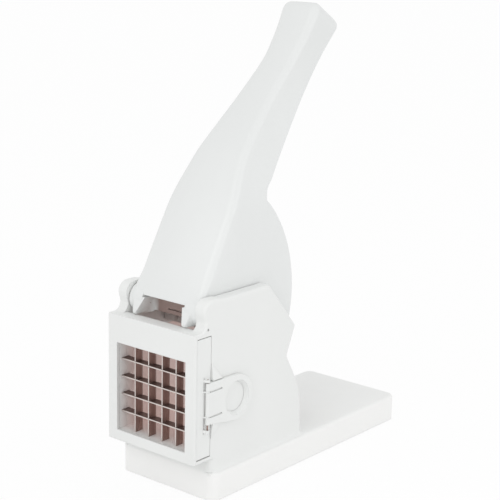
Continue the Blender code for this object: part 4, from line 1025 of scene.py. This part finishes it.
def cassette_half(name, s, front):
    """One half of the cassette: a plate with the window and the pockets of the blade ends."""
    if front:
        low, high, right = CASSETTE_FRONT, CASSETTE_SEAM - s.seam / 2, HALF_FRONT - END_WALL - s.seam
        near, far = BLADE_FRONT - GAP, high + OVERRUN
    else:
        low, high, right = CASSETTE_SEAM + s.seam / 2, CASSETTE_BACK, HALF_FRONT
        near, far = low - OVERRUN, POCKET_BACK
    half = solid(name, add_block, (-HALF_FRONT + BLIND_WALL + GAP, low, SLOT_BOTTOM + GAP),
                 (right, high, SLOT_TOP - GAP))
    if not front:
        join(half, add_block, (HALF_FRONT - END_WALL, FACE + END_SEAT, SLOT_BOTTOM + GAP),
             (HALF_FRONT, (low + high) / 2, SLOT_TOP - GAP))
        cut(half, end_gaps, s)
    cut(half, add_block, (-HALF_WINDOW, low - OVERRUN, WINDOW_BOTTOM),
        (HALF_WINDOW, high + OVERRUN, WINDOW_TOP))
    cut(half, upright_pockets, near, far)
    cut(half, level_pockets, near, far)
    return half


def add_lugs(bm, s, places):
    """Lugs of the hinge, run forward over the slot to the end wall."""
    y = RING_AXIS.y - FRONT_Y
    sunk, start = HALF_FRONT - s.slot_depth - GAP, y - KNUCKLE_RADIUS - s.slot_width - GAP
    outline = [(sunk, start), (HALF_FRONT - LUG_STEP, start)]
    outline += arc((RING_AXIS.x, y), KNUCKLE_RADIUS, -QUARTER, QUARTER, 12)
    outline.append((sunk, y + KNUCKLE_RADIUS))
    for middle, half in places:
        add_prism(bm, outline, RING_AXIS.z + middle - half, RING_AXIS.z + middle + half, "Z")


def build_cassette(context):
    s, finish = sizes(context, "cassette"), sizes(context, "finish")
    plastic = moulded_plastic("cassette_plastic", finish, MM, chamber_depth)
    front = cassette_half("front_shape", s, True)
    finish_piece(front, "cassette_front_half", "cassette", plastic, ["cassette_front"], TO_FRONT)
    back = cassette_half("back_shape", s, False)
    y, z = RING_AXIS.y - FRONT_Y, RING_AXIS.z
    slits = [s.slit_rise - s.slit_offset, s.slit_rise + s.slit_offset]
    levels = [-HINGE_REACH - MM, *slits, HINGE_REACH + MM]
    wide, narrow = (s.slot_width, s.slot_depth), (s.slot_narrow, NARROW_DEPTH)
    for low, high, (width, depth) in zip(levels, levels[1:], (wide, narrow, wide)):
        cut(back, add_block, (HALF_FRONT - depth, y - KNUCKLE_RADIUS - width, z + low),
            (HALF_FRONT + OVERRUN, y - KNUCKLE_RADIUS, z + high))
    places = [(MM - HINGE_REACH, MM), (HINGE_REACH - MM, MM)] + [(slit, MM / 2) for slit in slits]
    join(back, add_lugs, s, places)
    end = HINGE_REACH + OVERRUN
    cut(back, add_rod, LUG_BORE, (RING_AXIS.x, y, z - end), (RING_AXIS.x, y, z + end), "Z", 24)
    finish_piece(back, "cassette_back_half", "cassette", plastic, ["cassette_back"], TO_FRONT)


# Pull ring, drawn about the middle of its hinge, folded back against the wall

RING_THICKNESS = 3.2 * MM
RING_BORE = 0.8 * MM
HOLE_EDGE = 0.1 * MM
CUT_LENGTH = 2.0 * MM
GROOVE_LENGTH = 13.2 * MM
SOFT_EDGE = 0.25 * MM


def ring_plate(bm, s):
    """Tab between the outer lugs, run out into the round of the ring."""
    middle, foot = (s.ring_reach, -s.ring_drop), (0, s.tab_rise - HALF_HINGE)
    away = math.hypot(middle[0], middle[1] - foot[1])
    lower = math.atan2(foot[1] - middle[1], foot[0] - middle[0]) + math.acos(s.ring_radius / away)
    away = math.hypot(middle[0], middle[1] - HALF_HINGE)
    upper = math.atan2(HALF_HINGE - middle[1], -middle[0]) - math.acos(s.ring_radius / away)
    outline = [foot] + arc(middle, s.ring_radius, lower, upper, 64) + [(0, HALF_HINGE)]
    faces = add_prism(bm, outline, KNUCKLE_RADIUS - RING_THICKNESS, KNUCKLE_RADIUS)
    rim = [edge for edge in rim_of(*faces) if max(vert.co.y for vert in edge.verts) > KNUCKLE_RADIUS]
    round_edges(bm, rim, s.ring_edge, 4)


def finger_hole(bm, s):
    """Hole that narrows towards the wall."""
    slope = s.ring_dish / RING_THICKNESS
    middle = (KNUCKLE_RADIUS - RING_THICKNESS / 2, s.ring_reach, -s.ring_drop)
    bmesh.ops.create_cone(bm, cap_ends=True, segments=96, radius2=s.ring_hole + slope * GAP,
                          radius1=s.ring_hole - slope * (RING_THICKNESS + GAP),
                          depth=RING_THICKNESS + 2 * GAP,
                          matrix=Matrix.Translation(middle) @ Matrix.Rotation(QUARTER, 4, "Y"))
    outer = [face for face in bm.faces if len(face.verts) > 8 and face.calc_center_median().x > 0]
    round_edges(bm, rim_of(*outer), HOLE_EDGE, 1)


def tab_slits(bm, s, floor, start, end):
    for side in (-1, 1):
        z = s.slit_rise + side * s.slit_offset
        add_block(bm, (floor, start, z - s.slit_width / 2), (OVERRUN, end, z + s.slit_width / 2))


def build_ring(context):
    s, finish = sizes(context, "cassette"), sizes(context, "finish")
    end = HALF_HINGE + OVERRUN
    ring = solid("ring_shape", ring_plate, s)
    join(ring, add_rod, KNUCKLE_RADIUS, (0, 0, s.tab_rise - HALF_HINGE), (0, 0, HALF_HINGE), "Z", 32)
    cut(ring, finger_hole, s)
    cut(ring, tab_slits, s, -OVERRUN, -OVERRUN, CUT_LENGTH)
    cut(ring, tab_slits, s, KNUCKLE_RADIUS - s.slit_depth, 0, GROOVE_LENGTH)
    cut(ring, add_rod, RING_BORE, (0, 0, -end), (0, 0, end), "Z", 24)
    plastic = moulded_plastic("ring_plastic", finish, 0.8 * MM)
    place = Matrix.Translation(RING_AXIS)
    finish_piece(ring, "finger_ring", "ring", plastic, ["pull_ring"], place, SOFT_EDGE)


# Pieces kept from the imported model, with better finishes

def dress(names, material):
    for name in names:
        node = frame["nodes"][name]
        node.data.materials.clear()
        node.data.materials.append(material)


def build_blades(context):
    finish = sizes(context, "finish")
    edge_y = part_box("upright_blade_1")[0].y
    upright = rolled_steel("upright_blade_steel", finish, (1, 1, 0.06), edge_y)
    # Painted shade: the level blades get a darker copy of the steel.
    level = rolled_steel("level_blade_steel", finish, (0.06, 1, 1), edge_y, finish.level_blade_painted_shade)
    dress([f"upright_blade_{i}" for i in range(1, CELLS)], upright)
    dress([f"level_blade_{i}" for i in range(1, CELLS)], level)


def build_fittings(context):
    finish = sizes(context, "finish")
    dress(["base_cover"], moulded_plastic("cover_plastic", finish))
    rubber = moulded_rubber("foot_rubber_finish", finish)
    dress([name for name in frame["nodes"] if name.startswith("foot_")], rubber)
    # The pins and screws share the brown steel tones of the painted reflection.
    turned = rolled_steel("pin_steel_finish", finish, (0.1, 1, 1))
    metal = ("cover_screw", "pivot_pin", "ring_pin")
    dress([name for name in frame["nodes"] if name.startswith(metal)], turned)


# Stage

CAMERA_PLACE = (0.6054, -0.7505, 0.3898)
CAMERA_RIGHT = (0.7686, 0.6395, 0.0208)
CAMERA_UP = (-0.1689, 0.1714, 0.9707)
CAMERA_BACK = (0.6171, -0.7495, 0.2398)
SENSOR_WIDTH = 36.0
VIEW_END = 60.0
LIGHT_TARGET = (0, 0, 0.15)
LIGHT_SIZE = 1.0
FLOOR_RADIUS = 14.0
FLOOR_LIFT = 0.93


def add_area(name, place, power):
    light = bpy.data.lights.new(name, "AREA")
    light.shape = "DISK"
    light.size = LIGHT_SIZE
    light.energy = power
    item = bpy.data.objects.new(name, light)
    item.location = place
    item.rotation_euler = (Vector(LIGHT_TARGET) - Vector(place)).to_track_quat("-Z", "Y").to_euler()
    bpy.context.scene.collection.objects.link(item)


def build_world(stage):
    """Even light at the sky's strength, shown white behind the object."""
    world = bpy.data.worlds.new("studio")
    bpy.context.scene.world = world
    world.use_nodes = True
    nodes = Nodes(world.node_tree)
    background = nodes.tree.nodes["Background"].inputs
    nodes.set(background["Color"], (1, 1, 1, 1))
    nodes.set(background["Strength"], nodes.spread(nodes.seen_directly(), 0.0, 1.0, stage.sky, 1.0))


def floor_disc(bm):
    bmesh.ops.create_circle(bm, cap_ends=True, segments=96, radius=FLOOR_RADIUS)


def build_floor(stage):
    """Pale floor, lifted towards white where it is seen directly, so that its shadows stay."""
    floor = solid("studio_floor", floor_disc)
    s = Shader("studio_floor_paint")
    s.paint(Base_Color=(*stage.floor, 1), Roughness=0.9, Specular_IOR_Level=0.1)
    lift = s.add("ShaderNodeEmission", {"Strength": 1.0})
    mixed = s.add("ShaderNodeMixShader", {0: s.product(s.seen_directly(), FLOOR_LIFT),
                                          1: s.surface.outputs[0], 2: lift.outputs[0]})
    s.set(s.tree.nodes["Material Output"].inputs["Surface"], mixed.outputs[0])
    floor.data.materials.append(s.material)


def build_stage(context):
    stage = sizes(context, "stage")
    camera = bpy.data.cameras.new("photo_camera")
    camera.lens = stage.lens
    camera.sensor_width = SENSOR_WIDTH
    camera.sensor_fit = "HORIZONTAL"
    camera.clip_end = VIEW_END
    item = bpy.data.objects.new("photo_camera", camera)
    turn = Matrix((CAMERA_RIGHT, CAMERA_UP, CAMERA_BACK)).transposed().to_4x4()
    item.matrix_world = Matrix.Translation(CAMERA_PLACE) @ turn
    context.scene.collection.objects.link(item)
    context.scene.camera = item
    build_world(stage)
    build_floor(stage)
    add_area("front_softbox", (0.3, -1.35, 1.0), stage.key)
    add_area("side_softbox", (1.5, 0.35, 0.7), stage.fill)
    context.scene.view_settings.view_transform = "Standard"


# Operators

class FRYCUTTER_OT_stand(bpy.types.Operator):
    """Builds the stand with its frame, ears, walls and base"""
    bl_idname = "frycutter.stand"
    bl_label = "Build Stand"

    def execute(self, context):
        build_stand(context)
        return {"FINISHED"}


class FRYCUTTER_OT_lever(bpy.types.Operator):
    """Builds the hand lever with its cheeks and barrels"""
    bl_idname = "frycutter.lever"
    bl_label = "Build Lever"

    def execute(self, context):
        build_lever(context)
        return {"FINISHED"}


class FRYCUTTER_OT_pusher(bpy.types.Operator):
    """Builds the studded pusher"""
    bl_idname = "frycutter.pusher"
    bl_label = "Build Pusher"

    def execute(self, context):
        build_pusher(context)
        return {"FINISHED"}


class FRYCUTTER_OT_cassette(bpy.types.Operator):
    """Builds the two cassette halves"""
    bl_idname = "frycutter.cassette"
    bl_label = "Build Cassette"

    def execute(self, context):
        build_cassette(context)
        return {"FINISHED"}


class FRYCUTTER_OT_blades(bpy.types.Operator):
    """Finishes the steel blades"""
    bl_idname = "frycutter.blades"
    bl_label = "Finish Blades"

    def execute(self, context):
        build_blades(context)
        return {"FINISHED"}


class FRYCUTTER_OT_ring(bpy.types.Operator):
    """Builds the folding finger ring"""
    bl_idname = "frycutter.ring"
    bl_label = "Build Ring"

    def execute(self, context):
        build_ring(context)
        return {"FINISHED"}


class FRYCUTTER_OT_fittings(bpy.types.Operator):
    """Finishes the cover, feet, screws and pins"""
    bl_idname = "frycutter.fittings"
    bl_label = "Finish Fittings"

    def execute(self, context):
        build_fittings(context)
        return {"FINISHED"}


class FRYCUTTER_OT_stage(bpy.types.Operator):
    """Sets up the floor, the light and the camera"""
    bl_idname = "frycutter.stage"
    bl_label = "Set Up Stage"

    def execute(self, context):
        build_stage(context)
        return {"FINISHED"}


OPERATORS = (FRYCUTTER_OT_stand, FRYCUTTER_OT_lever, FRYCUTTER_OT_pusher, FRYCUTTER_OT_cassette,
             FRYCUTTER_OT_blades, FRYCUTTER_OT_ring, FRYCUTTER_OT_fittings, FRYCUTTER_OT_stage)
GROUPS = {"stand": FRYCUTTER_PG_stand, "lever": FRYCUTTER_PG_lever, "cassette": FRYCUTTER_PG_cassette,
          "finish": FRYCUTTER_PG_finish, "stage": FRYCUTTER_PG_stage}


class FRYCUTTER_PT_panel(bpy.types.Panel):
    """Lists the building steps and their sizes"""
    bl_idname = "FRYCUTTER_PT_panel"
    bl_label = "Fry Cutter"
    bl_space_type = "VIEW_3D"
    bl_region_type = "UI"
    bl_category = "Fry Cutter"

    def draw(self, context):
        for operator in OPERATORS:
            self.layout.operator(operator.bl_idname)
        for part, group in GROUPS.items():
            box = self.layout.box()
            box.label(text=part.title())
            for name in group.__annotations__:
                box.prop(sizes(context, part), name)


def register():
    for item in (*GROUPS.values(), *OPERATORS, FRYCUTTER_PT_panel):
        bpy.utils.register_class(item)
    for part, group in GROUPS.items():
        setattr(bpy.types.Scene, "frycutter_" + part, PointerProperty(type=group))


def unregister():
    for part in GROUPS:
        delattr(bpy.types.Scene, "frycutter_" + part)
    for item in reversed((*GROUPS.values(), *OPERATORS, FRYCUTTER_PT_panel)):
        bpy.utils.unregister_class(item)


def main():
    register()
    for operator in OPERATORS:
        family, name = operator.bl_idname.split(".")
        getattr(getattr(bpy.ops, family), name)()


if __name__ == "__main__":
    main()
